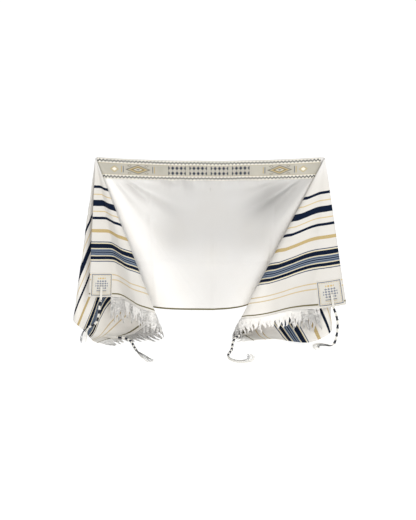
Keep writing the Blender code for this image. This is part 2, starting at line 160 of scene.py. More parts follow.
# %% [markdown]
# ## Camera, floor and light
#
# The shawl is seen from the front and a little above, from far away, so parallel lines stay
# nearly parallel. A long lens at a good distance does that. The floor is the pale table that the
# ends of the tassels lie on: frosted acrylic with a light under it, as product photographers use,
# so it stays white and shadows on it stay faint. Wide soft lights stand in front. The high one
# draws the folds, and two low ones, one warm and one cool, fill in the shade under the ends.

# %% Camera, floor and lights
TABLE_DROP = 0.661
CAMERA_DISTANCE = 6.0
CAMERA_ELEVATION = math.radians(17.0)
CAMERA_AIM = Vector((-0.008, 0.0, -0.379))
FRAME_HEIGHT = 1.864
SENSOR = 36.0
FLOOR_SIZE = 60.0

lens_data = bpy.data.cameras.new("camera")
lens_data.sensor_width = SENSOR
lens_data.lens = SENSOR * CAMERA_DISTANCE / FRAME_HEIGHT
camera = put("camera", lens_data)
camera.location = CAMERA_AIM + CAMERA_DISTANCE * Vector(
    (0.0, -math.cos(CAMERA_ELEVATION), math.sin(CAMERA_ELEVATION)))
camera.rotation_euler = (math.pi / 2 - CAMERA_ELEVATION, 0.0, 0.0)
bpy.context.scene.camera = camera

floor_mesh = bpy.data.meshes.new("floor")
half_floor = FLOOR_SIZE / 2
floor_mesh.from_pydata(
    [(x * half_floor, y * half_floor, -TABLE_DROP)
     for x, y in ((-1, -1), (1, -1), (1, 1), (-1, 1))], [], [(0, 1, 2, 3)])
floor = put("floor", floor_mesh)
# Frosted acrylic scatters light, so it is matt, and the light below it shows as a faint glow
floor_acrylic, _, _ = new_material("frosted_white_acrylic", {
    "Base Color": linear("#a4a4a3"), "Roughness": 0.9, "Specular IOR Level": 0.1,
    "Emission Color": linear("#ffffff"), "Emission Strength": 0.84})
floor_mesh.materials.append(floor_acrylic)

world = bpy.data.worlds.new("soft_room")
world.use_nodes = True
background = world.node_tree.nodes["Background"]
background.inputs["Color"].default_value = linear("#f8f9fb")
background.inputs["Strength"].default_value = 0.62
bpy.context.scene.world = world
bpy.context.scene.view_settings.view_transform = "Standard"

# Each row: name, place, the point it faces, side length, power and colour
LIGHTS = (
    ("high_front_light", (1.5, -2.2, 2.4), (0.0, 0.0, -0.35), 1.5, 42.0, "#fffefa"),
    ("left_fill_light", (-0.4, -4.5, 0.0), (0.0, 0.0, -0.45), 1.1, 36.0, "#fff0e2"),
    ("right_fill_light", (0.9, -4.4, 0.3), (0.0, 0.0, -0.35), 1.2, 24.0, "#eff4ff"),
)
for light_name, place, target, side_length, power, hex_light in LIGHTS:
    light_data = bpy.data.lights.new(light_name, "AREA")
    light_data.size = side_length
    light_data.energy = power
    light_data.color = linear(hex_light)[:3]
    light = put(light_name, light_data)
    light.location = place
    light.rotation_euler = (Vector(target) - Vector(place)).to_track_quat("-Z", "Y").to_euler()
print("camera lens", round(lens_data.lens, 1), "mm")

# %% [markdown]
# ## How the cloth hangs
#
# A cloth held at a point hangs in straight lines from it, as a fan does. So each half of the
# shawl is a fan about its held corner. A short table says, for some angles in the flat cloth,
# where that line of cloth hangs: how far it swings towards the middle and how far it leans
# towards the viewer. Where the swing turns back there is a fold. The same rule made the solids
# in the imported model, so cloth made from it here lies exactly on them, only finer.

# %% The fan of each side
CLOTH_HEIGHT = 0.56
HELD_X = 0.4035
LEFT_END = 0.502
RIGHT_END = 0.520
TABLE_BEND = 0.035
TABLE_CLEAR = 0.0045
LAYER_GAP = 0.005
NECK_SAG = 0.014
BOWL_DEPTH = 0.05
BOWL_SPAN = 0.62
CREASE_ANGLE = 125.0
FOLD_ROUNDING = 4.0
KICK_FORWARD = {"left": 0.0, "right": 0.08}
KICK_START = 0.36
KICK_FULL = 0.60
KICK_SWING = (0.0, 16.0)
FOLD_TWIST = {"left": 0.0, "right": 6.0}
TWIST_REACH = 0.66
TWIST_START = 0.12
KICK_MOST = 1.2
LEAST_DROP = 0.2
TABLE_DRIFT = {"left": -0.28, "right": 0.0}
FOLDS = {"left": (33.6, 68.5), "right": (38.5, 69.3)}
END = {"left": LEFT_END, "right": RIGHT_END}

# Rows: angle in the cloth from the hanging edge, swing towards the middle, lean to the viewer
LEFT_FAN = (
    (0.0, -3.5, 5.8), (5.5, 1.4, 4.4), (11.0, 6.2, 2.4), (16.0, 9.4, 1.2), (21.0, 12.4, 3.8),
    (26.0, 15.4, 6.6), (30.5, 18.9, 7.0), (32.5, 20.0, 6.2), (33.6, 20.3, 5.3),
    (34.7, 20.0, 4.4), (37.0, 17.6, 3.2), (39.9, 13.6, 0.8), (44.3, 7.8, -1.6),
    (48.1, 3.0, -0.6), (52.0, 0.2, 1.2), (56.0, -1.6, 2.0), (60.0, -3.8, 2.0),
    (64.0, -6.2, 3.2), (67.0, -8.0, 3.4), (68.5, -8.6, 2.5),
    (70.0, -8.2, 1.2), (74.0, -5.6, -1.8), (80.0, -1.6, -6.0), (86.0, 2.8, -8.8),
    (92.0, 8.0, -8.4), (98.0, 12.8, -5.2), (103.0, 16.4, -1.8), (107.0, 19.6, 0.8),
    (111.0, 23.2, 2.2), (117.0, 28.4, 2.2), (125.0, 35.0, 0.0),
)
RIGHT_FAN = (
    (0.0, -8.8, 7.0), (5.0, -3.0, 7.7), (10.0, 3.2, 7.4), (14.0, 6.6, 6.2),
    (20.0, 11.4, 5.2), (27.0, 17.2, 5.4), (33.0, 22.6, 4.8),
    (36.5, 25.6, 3.4), (38.5, 26.4, 2.0), (40.5, 26.0, 0.6),
    (43.5, 24.2, -0.2), (47.1, 21.4, 0.6), (50.8, 17.4, 1.8), (56.0, 10.2, 3.0),
    (59.5, 5.6, 4.2), (63.5, 1.4, 5.6), (67.5, -2.0, 5.6), (69.3, -2.8, 4.3),
    (71.1, -2.4, 2.8), (75.0, -0.6, -0.6), (81.0, 2.8, -5.8), (87.0, 6.8, -10.2),
    (92.0, 10.8, -12.6), (97.0, 15.2, -12.4), (102.0, 19.0, -9.6), (107.0, 22.2, -6.0),
    (111.0, 24.4, -3.0), (115.0, 27.0, -0.8), (120.0, 30.8, 0.2), (125.0, 35.0, 0.0),
)
SWING = 1
LEAN = 2


def ramp(value, low, high):
    """0 below low, 1 above high, and a smooth step between them."""
    t = np.clip((value - low) / (high - low), 0.0, 1.0)
    return t * t * (3.0 - 2.0 * t)


def fan_column(fan, column, angle):
    """One column of a fan at the given cloth angles, on a smooth curve through its rows."""
    rows = np.array(fan)
    knots = rows[:, 0]
    values = rows[:, column]
    slopes = np.gradient(values, knots)
    index = np.clip(np.searchsorted(knots, angle) - 1, 0, len(knots) - 2)
    span = knots[index + 1] - knots[index]
    t = (angle - knots[index]) / span
    start = (1 + 2 * t) * (1 - t) ** 2 * values[index] + t * (1 - t) ** 2 * span * slopes[index]
    end = t * t * (3 - 2 * t) * values[index + 1] + t * t * (t - 1) * span * slopes[index + 1]
    flat = angle - 90.0 if column == SWING else 0.0 * angle
    return np.where(angle >= CREASE_ANGLE, flat, start + end)


def side_points(side, reach, angle):
    """Points of one half of the cloth, from their distance and angle about its held corner."""
    fan = LEFT_FAN if side == "left" else RIGHT_FAN
    first_fold, second_fold = FOLDS[side]
    rising = np.clip(angle / first_fold, 0.0, 1.0)
    falling = np.clip((second_fold - angle) / (second_fold - first_fold), 0.0, 1.0)
    twist = FOLD_TWIST[side] * np.clip(1.0 - (reach / TWIST_REACH) ** 4, 0.0, 1.0)
    twist = twist * ramp(reach, 0.0, TWIST_START)
    turned = angle - twist * np.minimum(rising, falling)
    swing = np.radians(fan_column(fan, SWING, turned))
    lean = np.radians(fan_column(fan, LEAN, turned))
    ray = np.stack([np.sin(swing) * np.cos(lean), np.sin(lean), np.cos(swing) * np.cos(lean)])
    behind = (ramp(turned, first_fold - FOLD_ROUNDING, first_fold + FOLD_ROUNDING)
              + ramp(turned, second_fold - FOLD_ROUNDING, second_fold + FOLD_ROUNDING))
    depth = LAYER_GAP * (2.0 - behind)

    # Where a line of cloth reaches the table it bends over and lies on it
    table = np.array([TABLE_DRIFT[side], 1.0, 0.0])
    table = table / np.linalg.norm(table)
    level = TABLE_DROP - TABLE_CLEAR - LAYER_GAP * (1.0 - np.minimum(behind, 1.0))
    start = (level - TABLE_BEND) / np.maximum(ray[2], LEAST_DROP)
    cosine = np.einsum("i...,i->...", ray, table)
    quarter = np.arccos(cosine)
    table = table.reshape(3, *[1] * cosine.ndim)
    across = (table - ray * cosine) / np.sin(quarter)
    bent = np.clip((reach - start) / TABLE_BEND, 0.0, quarter)
    flat = np.maximum(reach - start - TABLE_BEND * quarter, 0.0)
    point = ray * (np.minimum(reach, start) + TABLE_BEND * np.sin(bent))
    point = point + across * TABLE_BEND * (1.0 - np.cos(bent)) + table * flat

    thrown = np.clip((reach - KICK_START) / (KICK_FULL - KICK_START), 0.0, KICK_MOST) ** 2
    swing_share = 1.0 - ramp(np.degrees(swing), *KICK_SWING)
    forward = point[1] + depth + KICK_FORWARD[side] * thrown * swing_share
    sign = 1.0 if side == "left" else -1.0
    x = sign * (point[0] - HELD_X)
    y = -forward
    z = -point[2]
    share = ramp(angle, second_fold, CREASE_ANGLE)
    middle = np.clip(1.0 - (x / HELD_X) ** 2, 0.0, 1.0)
    y = y + share * BOWL_DEPTH * middle * np.sin(math.pi * np.clip(-z / BOWL_SPAN, 0.0, 1.0))
    z = z - share * NECK_SAG * middle
    return np.stack([x, y, z], axis=-1)


def smooth_cloth(along, down):
    """Points of the hung cloth: along from the middle of the neck edge, down from that edge."""
    along = np.asarray(along, dtype=float)
    down = np.asarray(down, dtype=float)
    outward = np.abs(along) - HELD_X
    reach = np.hypot(outward, down)
    angle = np.degrees(np.arctan2(down, outward))
    left = side_points("left", reach, angle)
    right = side_points("right", reach, angle)
    return np.where((along < 0.0)[..., None], left, right)


def cloth_normals(along, down):
    """Unit normals on the cloth's face, the one that carries the neckband."""
    step = 0.0005
    along = np.asarray(along, dtype=float)
    inward = np.where(along < 0.0, step, -step)
    here = smooth_cloth(along, down)
    sideways = (smooth_cloth(along + inward, down) - here) / inward[..., None]
    downward = smooth_cloth(along, down + step) - smooth_cloth(along, np.maximum(down - step, 0.0))
    normal = np.cross(downward, sideways)
    return normal / np.linalg.norm(normal, axis=-1, keepdims=True)


print("neck edge at its middle", smooth_cloth(np.array([0.0]), np.array([0.0]))[0].round(4))

# %% [markdown]
# ## Creases and puckers
#
# New woven cloth keeps the sharp creases it was packed with, and the seam of the neckband gathers
# it a little into short puckers. A simulation could make them, but they would fall anywhere. Here
# they are listed one by one on the flat cloth, as soft ridges: a millimetre or two for a packing
# crease, up to a centimetre for a pucker, and up to three for the broad folds that spread from the
# held corners. A slow noise gives the rest of the cloth its gentle unevenness.

# %% Creases placed on the flat cloth
# Rows: which direction is crossed, where, from, to, height and width, in metres
PACKING_CREASES = (
    ("down", 0.386, -0.36, 0.33, 0.0026, 0.0060),
    ("down", 0.193, -0.88, -0.42, 0.0014, 0.0055),
    ("down", 0.372, 0.43, 0.90, 0.0016, 0.0055),
    ("along", -0.216, 0.10, 0.54, 0.0026, 0.0062),
    ("along", 0.228, 0.16, 0.55, -0.0022, 0.0064),
    ("along", 0.012, 0.30, 0.56, 0.0016, 0.0064),
    ("along", 0.660, 0.02, 0.50, 0.0014, 0.0055),
    ("along", -0.668, 0.04, 0.52, 0.0014, 0.0055),
)
# Rows: place along the neck edge, length below the band, height and width, in metres
BAND_PUCKERS = (
    (-0.300, 0.050, -0.0030, 0.0090), (-0.232, 0.040, 0.0030, 0.0080),
    (-0.172, 0.060, -0.0080, 0.0095), (-0.134, 0.050, 0.0084, 0.0085),
    (-0.096, 0.070, -0.0100, 0.0100), (-0.060, 0.046, 0.0080, 0.0085),
    (-0.020, 0.036, -0.0050, 0.0080), (0.040, 0.044, 0.0034, 0.0090),
    (0.100, 0.034, -0.0028, 0.0080), (0.172, 0.050, 0.0036, 0.0090),
    (0.246, 0.036, -0.0030, 0.0080), (0.305, 0.044, 0.0028, 0.0090),
)
BAND_BOTTOM = 0.076
PUCKER_START = (BAND_BOTTOM - 0.008, BAND_BOTTOM + 0.008)
PUCKER_FADE = 2.0
PUCKER_SPREAD = 12.0
# Rows: side, cloth angle, half width in degrees, height, and the reach where it is full and gone
CORNER_FOLDS = (
    ("left", 160.0, 5.5, -0.0200, 0.16, 0.43),
    ("left", 149.5, 4.8, 0.0300, 0.12, 0.44),
    ("left", 139.5, 4.5, -0.0200, 0.13, 0.46),
    ("left", 131.0, 4.5, 0.0080, 0.15, 0.44),
    ("right", 161.0, 5.0, 0.0140, 0.16, 0.42),
    ("right", 153.0, 4.4, -0.0190, 0.12, 0.40),
    ("right", 144.0, 4.6, 0.0220, 0.13, 0.46),
    ("right", 135.0, 4.5, -0.0130, 0.15, 0.46),
)
FOLD_FROM = 0.01
FOLD_START = (BAND_BOTTOM - 0.006, BAND_BOTTOM + 0.034)
CREASE_END = 0.03
UNEVENNESS = 0.0020
UNEVEN_SCALE = 11.0
FINE_SCALE = 31.0
FINE_SHARE = 0.45
CALM_CORNER = (0.03, 0.17)


def unevenness(along, down):
    """Slow noise at every place of the flat cloth."""
    places = zip(along.ravel(), down.ravel())
    slow = [noise.noise(Vector((a * UNEVEN_SCALE, d * UNEVEN_SCALE, 0.0)))
            + FINE_SHARE * noise.noise(Vector((a * FINE_SCALE, d * FINE_SCALE, 5.0)))
            for a, d in places]
    return UNEVENNESS * np.array(slow).reshape(along.shape)


def crease_height(along, down):
    """How far the face stands off the smooth drape."""
    height = unevenness(along, down)
    for crossed, place, start, stop, tall, wide in PACKING_CREASES:
        position, run = (down, along) if crossed == "down" else (along, down)
        ends = (ramp(run, start - CREASE_END, start + CREASE_END)
                * (1.0 - ramp(run, stop - CREASE_END, stop + CREASE_END)))
        height += tall * ends * np.exp(-((position - place) / wide) ** 2)
    past_band = np.maximum(down - BAND_BOTTOM, 0.0)
    for place, length, tall, wide in BAND_PUCKERS:
        share = ramp(down, *PUCKER_START) * np.exp(-(past_band / length) ** 2 * PUCKER_FADE)
        spreading = wide * (1.0 + PUCKER_SPREAD * past_band)
        height += tall * share * np.exp(-((along - place) / spreading) ** 2)
    outward = np.abs(along) - HELD_X
    reach = np.hypot(outward, down)
    angle = np.degrees(np.arctan2(down, outward))
    for side, middle, half, tall, full, gone in CORNER_FOLDS:
        on_side = (along < 0.0) if side == "left" else (along >= 0.0)
        share = ramp(reach, FOLD_FROM, full) * (1.0 - ramp(reach, full, gone))
        share = share * ramp(down, *FOLD_START)
        height += tall * share * on_side * np.exp(-((angle - middle) / half) ** 2)
    return height * ramp(reach, *CALM_CORNER)


def cloth_points(along, down, lift=0.0):
    """Points on the creased cloth, moved out from its middle by lift on its face."""
    along, down = np.broadcast_arrays(np.asarray(along, dtype=float), np.asarray(down, dtype=float))
    height = crease_height(along, down) + lift
    return smooth_cloth(along, down) + height[..., None] * cloth_normals(along, down)


print("creases", len(PACKING_CREASES) + len(BAND_PUCKERS) + len(CORNER_FOLDS))

# %% [markdown]
# ## The cloth
#
# On the real shawl this is one piece from end to end, so it is one mesh here. Its columns run
# along the lines of the fan and crowd together at the folds, which keeps each fold crisp where
# a plain grid would step across it. Solidify gives it the thickness of the weave. Its UV map is
# the flat cloth in metres: the distance from the nearer short end, and from the neck edge.

# %% One continuous sheet
CLOTH_THICKNESS = 0.0010
APEX = 0.004
RINGS = 88
FOLD_BAND = 6.0
COARSE_STEP = 1.0
PANEL_STEP = 0.68
FINE_STEP = 0.45
WELD = 0.00005
TINY = 1e-6
JUST_LEFT = 1e-9
OUTWARD = {"left": -1.0, "right": 1.0}


def lower_corner(side):
    """Cloth angle of the lower corner of a side."""
    return math.degrees(math.atan2(CLOTH_HEIGHT, END[side]))


def fan_angles(side):
    """Cloth angles of the columns, close together at the folds."""
    first, second = FOLDS[side]
    lower = lower_corner(side)
    middle = math.degrees(math.atan2(CLOTH_HEIGHT, -HELD_X))
    stops = [(0.0, COARSE_STEP), (first - FOLD_BAND, FINE_STEP), (first, FINE_STEP)]
    if lower - first > FOLD_BAND:
        stops.append((first + FOLD_BAND, COARSE_STEP))
    stops += [(lower, COARSE_STEP), (second - FOLD_BAND, FINE_STEP),
              (second + FOLD_BAND, PANEL_STEP), (middle, PANEL_STEP), (180.0, PANEL_STEP)]
    angles = [0.0]
    for (start, step), (stop, _) in zip(stops, stops[1:]):
        count = max(1, round((stop - start) / step))
        angles += list(np.linspace(start, stop, count + 1))[1:]
    return np.array(angles)


def fan_outline(side, angles):
    """Distance from the held corner to the cloth's edge at each angle."""
    outline = []
    for angle in np.radians(angles):
        edges = [CLOTH_HEIGHT / max(math.sin(angle), TINY)]
        if math.cos(angle) > TINY:
            edges.append(END[side] / math.cos(angle))
        if math.cos(angle) < -TINY:
            edges.append(HELD_X / -math.cos(angle))
        outline.append(min(edges))
    return np.array(outline)


def side_grid(side):
    """Points and UVs of one half of the cloth, and whether its faces have to be turned."""
    angles = fan_angles(side)
    share = np.linspace(0.0, 1.0, RINGS + 1)[:, None]
    reach = APEX + (fan_outline(side, angles)[None, :] - APEX) * share
    along = OUTWARD[side] * (HELD_X + reach * np.cos(np.radians(angles)))
    down = np.maximum(reach * np.sin(np.radians(angles)), 0.0)
    along = np.minimum(along, 0.0) if side == "left" else np.maximum(along, 0.0)
    flat = np.stack([HELD_X + END[side] - np.abs(along), down], axis=-1)
    if side == "left":
        along = along - JUST_LEFT
    return cloth_points(along, down), flat, side == "right"


def thin_sheet(name, uv_name, grids, thickness):
    """One thin sheet of several grids, each given as points, UVs and whether to turn its faces."""
    mesh = bmesh.new()
    layer = mesh.loops.layers.uv.new(uv_name)
    for points, flat, turned in grids:
        verts = [[mesh.verts.new(point) for point in row] for row in points]
        for i in range(len(verts) - 1):
            for j in range(len(verts[0]) - 1):
                corners = [(i, j), (i + 1, j), (i + 1, j + 1), (i, j + 1)]
                if turned:
                    corners.reverse()
                face = mesh.faces.new([verts[a][b] for a, b in corners])
                face.smooth = True
                for loop, (a, b) in zip(face.loops, corners):
                    loop[layer].uv = flat[a][b]
    bmesh.ops.remove_doubles(mesh, verts=mesh.verts, dist=WELD)
    data = bpy.data.meshes.new(name)
    mesh.to_mesh(data)
    mesh.free()
    piece = put(name, data)
    wall = piece.modifiers.new("thickness", "SOLIDIFY")
    wall.thickness = thickness
    wall.offset = 0.0
    return piece


shawl_cloth = thin_sheet("shawl_cloth", "flat_cloth", [side_grid("left"), side_grid("right")],
                         CLOTH_THICKNESS)
print("cloth faces", len(shawl_cloth.data.polygons))

# %% [markdown]
# ## The woven stripes
#
# The cloth is a white acrylic and wool twill, and its stripes are coloured weft threads beaten in
# across the short ends, the same on both. A stripe is therefore a band of equal distance from the
# short end, which the UV map holds, and one short table gives every band its place, width and
# colour. Yarn is matt with a soft sheen, so roughness is high. The thread ridges are drawn at
# 1.1 mm, twice the real spacing, so that they still show in a close view.
#
# Light and shade are also painted onto the white: painted shade greys the middle of the back
# panel and the right upper corner, painted light brightens the cloth doubled by the folds, and the
# striped ends are painted a little darker, with painted light on their lower part near the table.
# A second table places these differences.

# %% Striped twill
THREAD = 0.0011
# Painted shade between the threads: how much of the colour is left where the relief is lowest
THREAD_SHADE_DARKEST = 0.90
# Rows: distance of the stripe's middle from the short end and its width in metres, and colour
STRIPES = (
    (0.0120, 0.0050, "#6f6848"), (0.0635, 0.0041, "#cbb689"), (0.0820, 0.0041, "#cbb689"),
    (0.1310, 0.0036, "#465265"), (0.1360, 0.0028, "#dfd3ae"), (0.1436, 0.0112, "#04142c"),
    (0.1508, 0.0026, "#dfd3ae"), (0.1638, 0.0232, "#7d8999"), (0.1570, 0.0034, "#2f3d54"),
    (0.1638, 0.0044, "#17243a"), (0.1706, 0.0034, "#2f3d54"), (0.1766, 0.0026, "#dfd3ae"),
    (0.1864, 0.0160, "#04142c"), (0.1958, 0.0028, "#dfd3ae"), (0.2006, 0.0036, "#465265"),
    (0.2410, 0.0122, "#b79f64"), (0.2870, 0.0096, "#04142c"), (0.3110, 0.0040, "#ceb988"),
    (0.3410, 0.0218, "#04142c"), (0.3720, 0.0040, "#ceb988"), (0.3990, 0.0096, "#04142c"),
)
STRIPE_EDGE = 0.0003
# The metallic threads lie loosely, so some white shows between them
METALLIC = ("#b79f64", "#cbb689", "#ceb988")
LOOSEST = 0.72
# An olive line, the colour of the first stripe, runs along the middle of the long lower edge
LOWER_EDGE_LINE = (0.5565, 0.0050, "#6f6848")
LOWER_LINE_SOFTNESS = 0.0006
WHITE_YARN = "#e5e5e4"
WARM_YARN = "#d8d2c4"
# Scale and detail of the noises: clouds of warmth, wandering stripe edges, loose threads, fibre
CLOUDS = (9.0, 3.0)
WANDER = (60.0, 2.0)
MOTTLE = (330.0, 1.0)
FIBRE = (900.0, 2.0)
CLOUD_WARMTH = 0.30
ENDS_WARMTH = 0.28
WANDER_REACH = 0.0009
STRIPE_RISE = 0.8
MIDDLE_FROM_END = (0.62, 0.56)
PAST_STRIPES = (0.50, 0.43)
AT_ENDS = (0.43, 0.50)
# Where the painted shade of the back panel is centred across the hung cloth
PAINTED_SHADE_MIDDLE = 0.035
# Rows: how much brighter or darker the cloth is painted, as painted light and shade, then the
# measures that bound the place, each with its value where the change is full and where it is gone.
# The slope is the angle about the held corner, down from the neck edge, in radians. The others are
# in metres: sideways, across and height where the cloth hangs, from_end and down on the flat cloth
PAINTED_LIGHT_AND_SHADE = (
    # Painted shade over the middle of the back panel, fading out lower down
    (-0.21, ("sideways", 0.15, 0.28), ("height", -0.29, -0.43), ("from_end", *MIDDLE_FROM_END)),
    # Painted light on the cloth that is doubled by the folds
    (0.26, ("slope", 1.22, 0.84), ("slope", 1.35, 1.75), ("from_end", *PAST_STRIPES)),
    # The striped ends, painted a little darker, and their lower part near the pale table, painted
    # lighter
    (-0.05, ("from_end", *AT_ENDS)),
    (0.18, ("from_end", *AT_ENDS), ("down", 0.34, 0.27)),
    # The shade inside the right upper corner
    (-0.28, ("slope", 0.92, 1.08), ("slope", 0.70, 0.36), ("across", 0.20, 0.06),
     ("height", -0.15, -0.29)),
)


def threads(number, spacing):
    """Ridges at even spacing, from -1 to 1."""
    return (number * (2 * math.pi / spacing)).sum("SINE")


def painted_thread_shade(tree, colour, relief, lowest, highest):
    """A colour with painted shade between its threads, a little darker by their relief."""
    shade = add_node(tree, "ShaderNodeMapRange", {
        "Value": relief, "From Min": lowest, "From Max": highest,
        "To Min": THREAD_SHADE_DARKEST, "To Max": 1.0})
    return add_node(tree, "ShaderNodeMix", {"Factor": 1.0, 6: colour, 7: shade.outputs[0]},
                    data_type="RGBA", blend_type="MULTIPLY").outputs[2]


def painted_light_and_shade_by_place(tree, from_end, down):
    """Painted light and shade of the white cloth, from its place flat and where it hangs."""
    hung = add_node(tree, "ShaderNodeTexCoord").outputs["Object"]
    spot = add_node(tree, "ShaderNodeSeparateXYZ", {0: hung}).outputs
    across, height = Number(tree, spot["X"]), Number(tree, spot["Z"])
    measures = {
        "from_end": from_end, "down": down, "across": across, "height": height,
        "sideways": across.away(PAINTED_SHADE_MIDDLE),
        "slope": down.sum("ARCTAN2", from_end - (LEFT_END + RIGHT_END) / 2)}
    tone = 1.0
    for change, *bounds in PAINTED_LIGHT_AND_SHADE:
        share = change
        for measure, full, gone in bounds:
            share = measures[measure].fade(full, gone) * share
        tone = share + tone
    return tone


def striped_twill():
    """White twill with the weft stripes of the table."""
    material, tree, shader = new_material("striped_acrylic_wool_twill", {
        "Roughness": 0.86, "Specular IOR Level": 0.12, "Sheen Weight": 0.06,
        "Sheen Roughness": 0.5})
    flat = add_node(tree, "ShaderNodeUVMap", uv_map="flat_cloth").outputs["UV"]
    parts = add_node(tree, "ShaderNodeSeparateXYZ", {0: flat}).outputs
    from_end, down = Number(tree, parts["X"]), Number(tree, parts["Y"])
    clouds, wander, mottle, fibre = [
        Number(tree, add_node(tree, "ShaderNodeTexNoise", {
            "Vector": flat, "Scale": scale, "Detail": detail}).outputs["Fac"])
        for scale, detail in (CLOUDS, WANDER, MOTTLE, FIBRE)]
    warmth = clouds * CLOUD_WARMTH + from_end.fade(*AT_ENDS) * ENDS_WARMTH
    colour = add_node(tree, "ShaderNodeMix", {
        "Factor": warmth, 6: linear(WHITE_YARN), 7: linear(WARM_YARN)},
        data_type="RGBA").outputs[2]
    # The painted light and shade multiply the white
    colour = add_node(tree, "ShaderNodeMix", {
        "Factor": 1.0, 6: colour, 7: painted_light_and_shade_by_place(tree, from_end, down)},
        data_type="RGBA", blend_type="MULTIPLY").outputs[2]

    place = from_end + (wander - 0.5) * WANDER_REACH
    worn = add_node(tree, "ShaderNodeMapRange", {
        "Value": mottle, "From Min": 0.35, "From Max": 0.75,
        "To Min": 1.0, "To Max": LOOSEST}).outputs[0]
    coloured = None
    for middle, width, thread_colour in STRIPES:
        band = place.away(middle).fade(width / 2 - STRIPE_EDGE, width / 2 + STRIPE_EDGE)
        cover = band * worn if thread_colour in METALLIC else band
        colour = add_node(tree, "ShaderNodeMix", {
            "Factor": cover, 6: colour, 7: linear(thread_colour)}, data_type="RGBA").outputs[2]
        coloured = band if coloured is None else coloured.sum("MAXIMUM", band)
    line_place, line_width, line_colour = LOWER_EDGE_LINE
    lower_line = down.away(line_place).fade(line_width / 2, line_width / 2 + LOWER_LINE_SOFTNESS)
    colour = add_node(tree, "ShaderNodeMix", {
        "Factor": lower_line * from_end.fade(*MIDDLE_FROM_END), 6: colour, 7: linear(line_colour)},
        data_type="RGBA").outputs[2]

    ridge = threads(from_end, THREAD) * 0.5 + threads(from_end + down, 2 * THREAD) * 0.5 + fibre
    colour = painted_thread_shade(tree, colour, ridge, -0.6, 1.6)
    dress(tree, shader, colour, ridge + coloured * STRIPE_RISE, 0.28, 0.0005)
    return material


shawl_cloth.data.materials.append(striped_twill())
print("stripes", len(STRIPES))

# %% [markdown]
# ## The neckband and the corner patches
#
# Both are woven ribbons, sewn on the face after the cloth is finished. They are grids of points
# on the creased cloth, moved out by half of both thicknesses, so they take every curve of what
# they lie on. Their UV maps are in metres too, from the middle of the band and of the patch.

# %% Ribbons that lie on the cloth
BAND_HEIGHT = 0.075
BAND_ALONG = (0.005 - HELD_X, HELD_X - 0.015)
BAND_DOWN = (0.001, 0.001 + BAND_HEIGHT)
BAND_GRID = (301, 25)
PATCH_SIDE = 0.084
PATCH_INSET_END = 0.003
PATCH_INSET_EDGE = 0.006
PATCH_GRID = 29
RIBBON_THICKNESS = 0.0009
RIBBON_LIFT = CLOTH_THICKNESS / 2 + RIBBON_THICKNESS / 2 + 0.0003
CORNERS = (
    ("left_upper", "left", True),
    ("left_lower", "left", False),
    ("right_upper", "right", True),
    ("right_lower", "right", False),
)


def corner_place(side, upper, from_end, from_edge):
    """Cloth position of a point near a corner, from its short end and its long edge."""
    return (OUTWARD[side] * (HELD_X + END[side] - from_end),
            from_edge if upper else CLOTH_HEIGHT - from_edge)


def patch_spans(side, upper):
    """The stretches of cloth that a patch covers, along and down."""
    near = corner_place(side, upper, PATCH_INSET_END, PATCH_INSET_EDGE)
    far = corner_place(side, upper, PATCH_INSET_END + PATCH_SIDE, PATCH_INSET_EDGE + PATCH_SIDE)
    return tuple(zip(near, far))


def ribbon(name, along, down, sideways):
    """A grid that lies on the cloth's face, with UVs in metres from its own middle.

    The UVs of a sideways ribbon run across the cloth and then away from its short end.
    """
    grid_along, grid_down = np.meshgrid(along, down)
    middle = (along[0] + along[-1]) / 2
    level = (down[0] + down[-1]) / 2
    if sideways:
        flat = np.stack([grid_down - level, abs(middle) - np.abs(grid_along)], axis=-1)
    else:
        flat = np.stack([grid_along - middle, level - grid_down], axis=-1)
    turned = (along[-1] - along[0]) * (down[-1] - down[0]) < 0
    points = cloth_points(grid_along, grid_down, RIBBON_LIFT)
    return thin_sheet(name, "ribbon", [(points, flat, turned)], RIBBON_THICKNESS)


neckband = ribbon("neckband_satin", np.linspace(*BAND_ALONG, BAND_GRID[0]),
                  np.linspace(*BAND_DOWN, BAND_GRID[1]), False)
patches = []
for corner, side, upper in CORNERS:
    span_along, span_down = patch_spans(side, upper)
    patches.append(ribbon(corner + "_patch_satin", np.linspace(*span_along, PATCH_GRID),
                          np.linspace(*span_down, PATCH_GRID), True))
print("ribbons", neckband.name, [patch.name for patch in patches])

# %% [markdown]
# ## Jacquard ornament
#
# Jacquard weaving floats coloured threads on an ivory satin ground. The ornament here is a plain
# geometric one: zigzag borders, lozenges, and rows of small diamonds and bars. Each motif is a
# mask worked out from the UV map in metres: a zigzag is a folded ramp, a lozenge is the sum of
# two distances, and a row of them repeats with a modulo. Slate blue, navy and old gold are laid
# over the ivory one by one. Satin shines more than twill, so its roughness is lower.

# %% Jacquard masks
SATIN_CLOUDS = 14.0
RIB_DEPTH = 0.6
WARP_DEPTH = 0.3
FLOAT_RISE = 1.2


def line_mask(number, centre, width):
    """A straight line of that width."""
    return number.away(centre).below(width / 2)


def zigzag_mask(along, down, centre, period, height, width):
    """A zigzag line that runs along the ribbon."""
    fold = along.repeated(period) * (2 * height / period)
    return line_mask(down + height / 2 - fold, centre, width)


def diamond_mask(along, down, centre, half_width, half_height):
    """A filled lozenge; the first distance may already be repeated."""
    return (along + down.away(centre) * (half_width / half_height)).below(half_width)


def square_mask(along, down, half, width):
    """The outline of a square about the middle."""
    return line_mask((abs(along) - half).sum("MAXIMUM", abs(down) - half), 0.0, width)


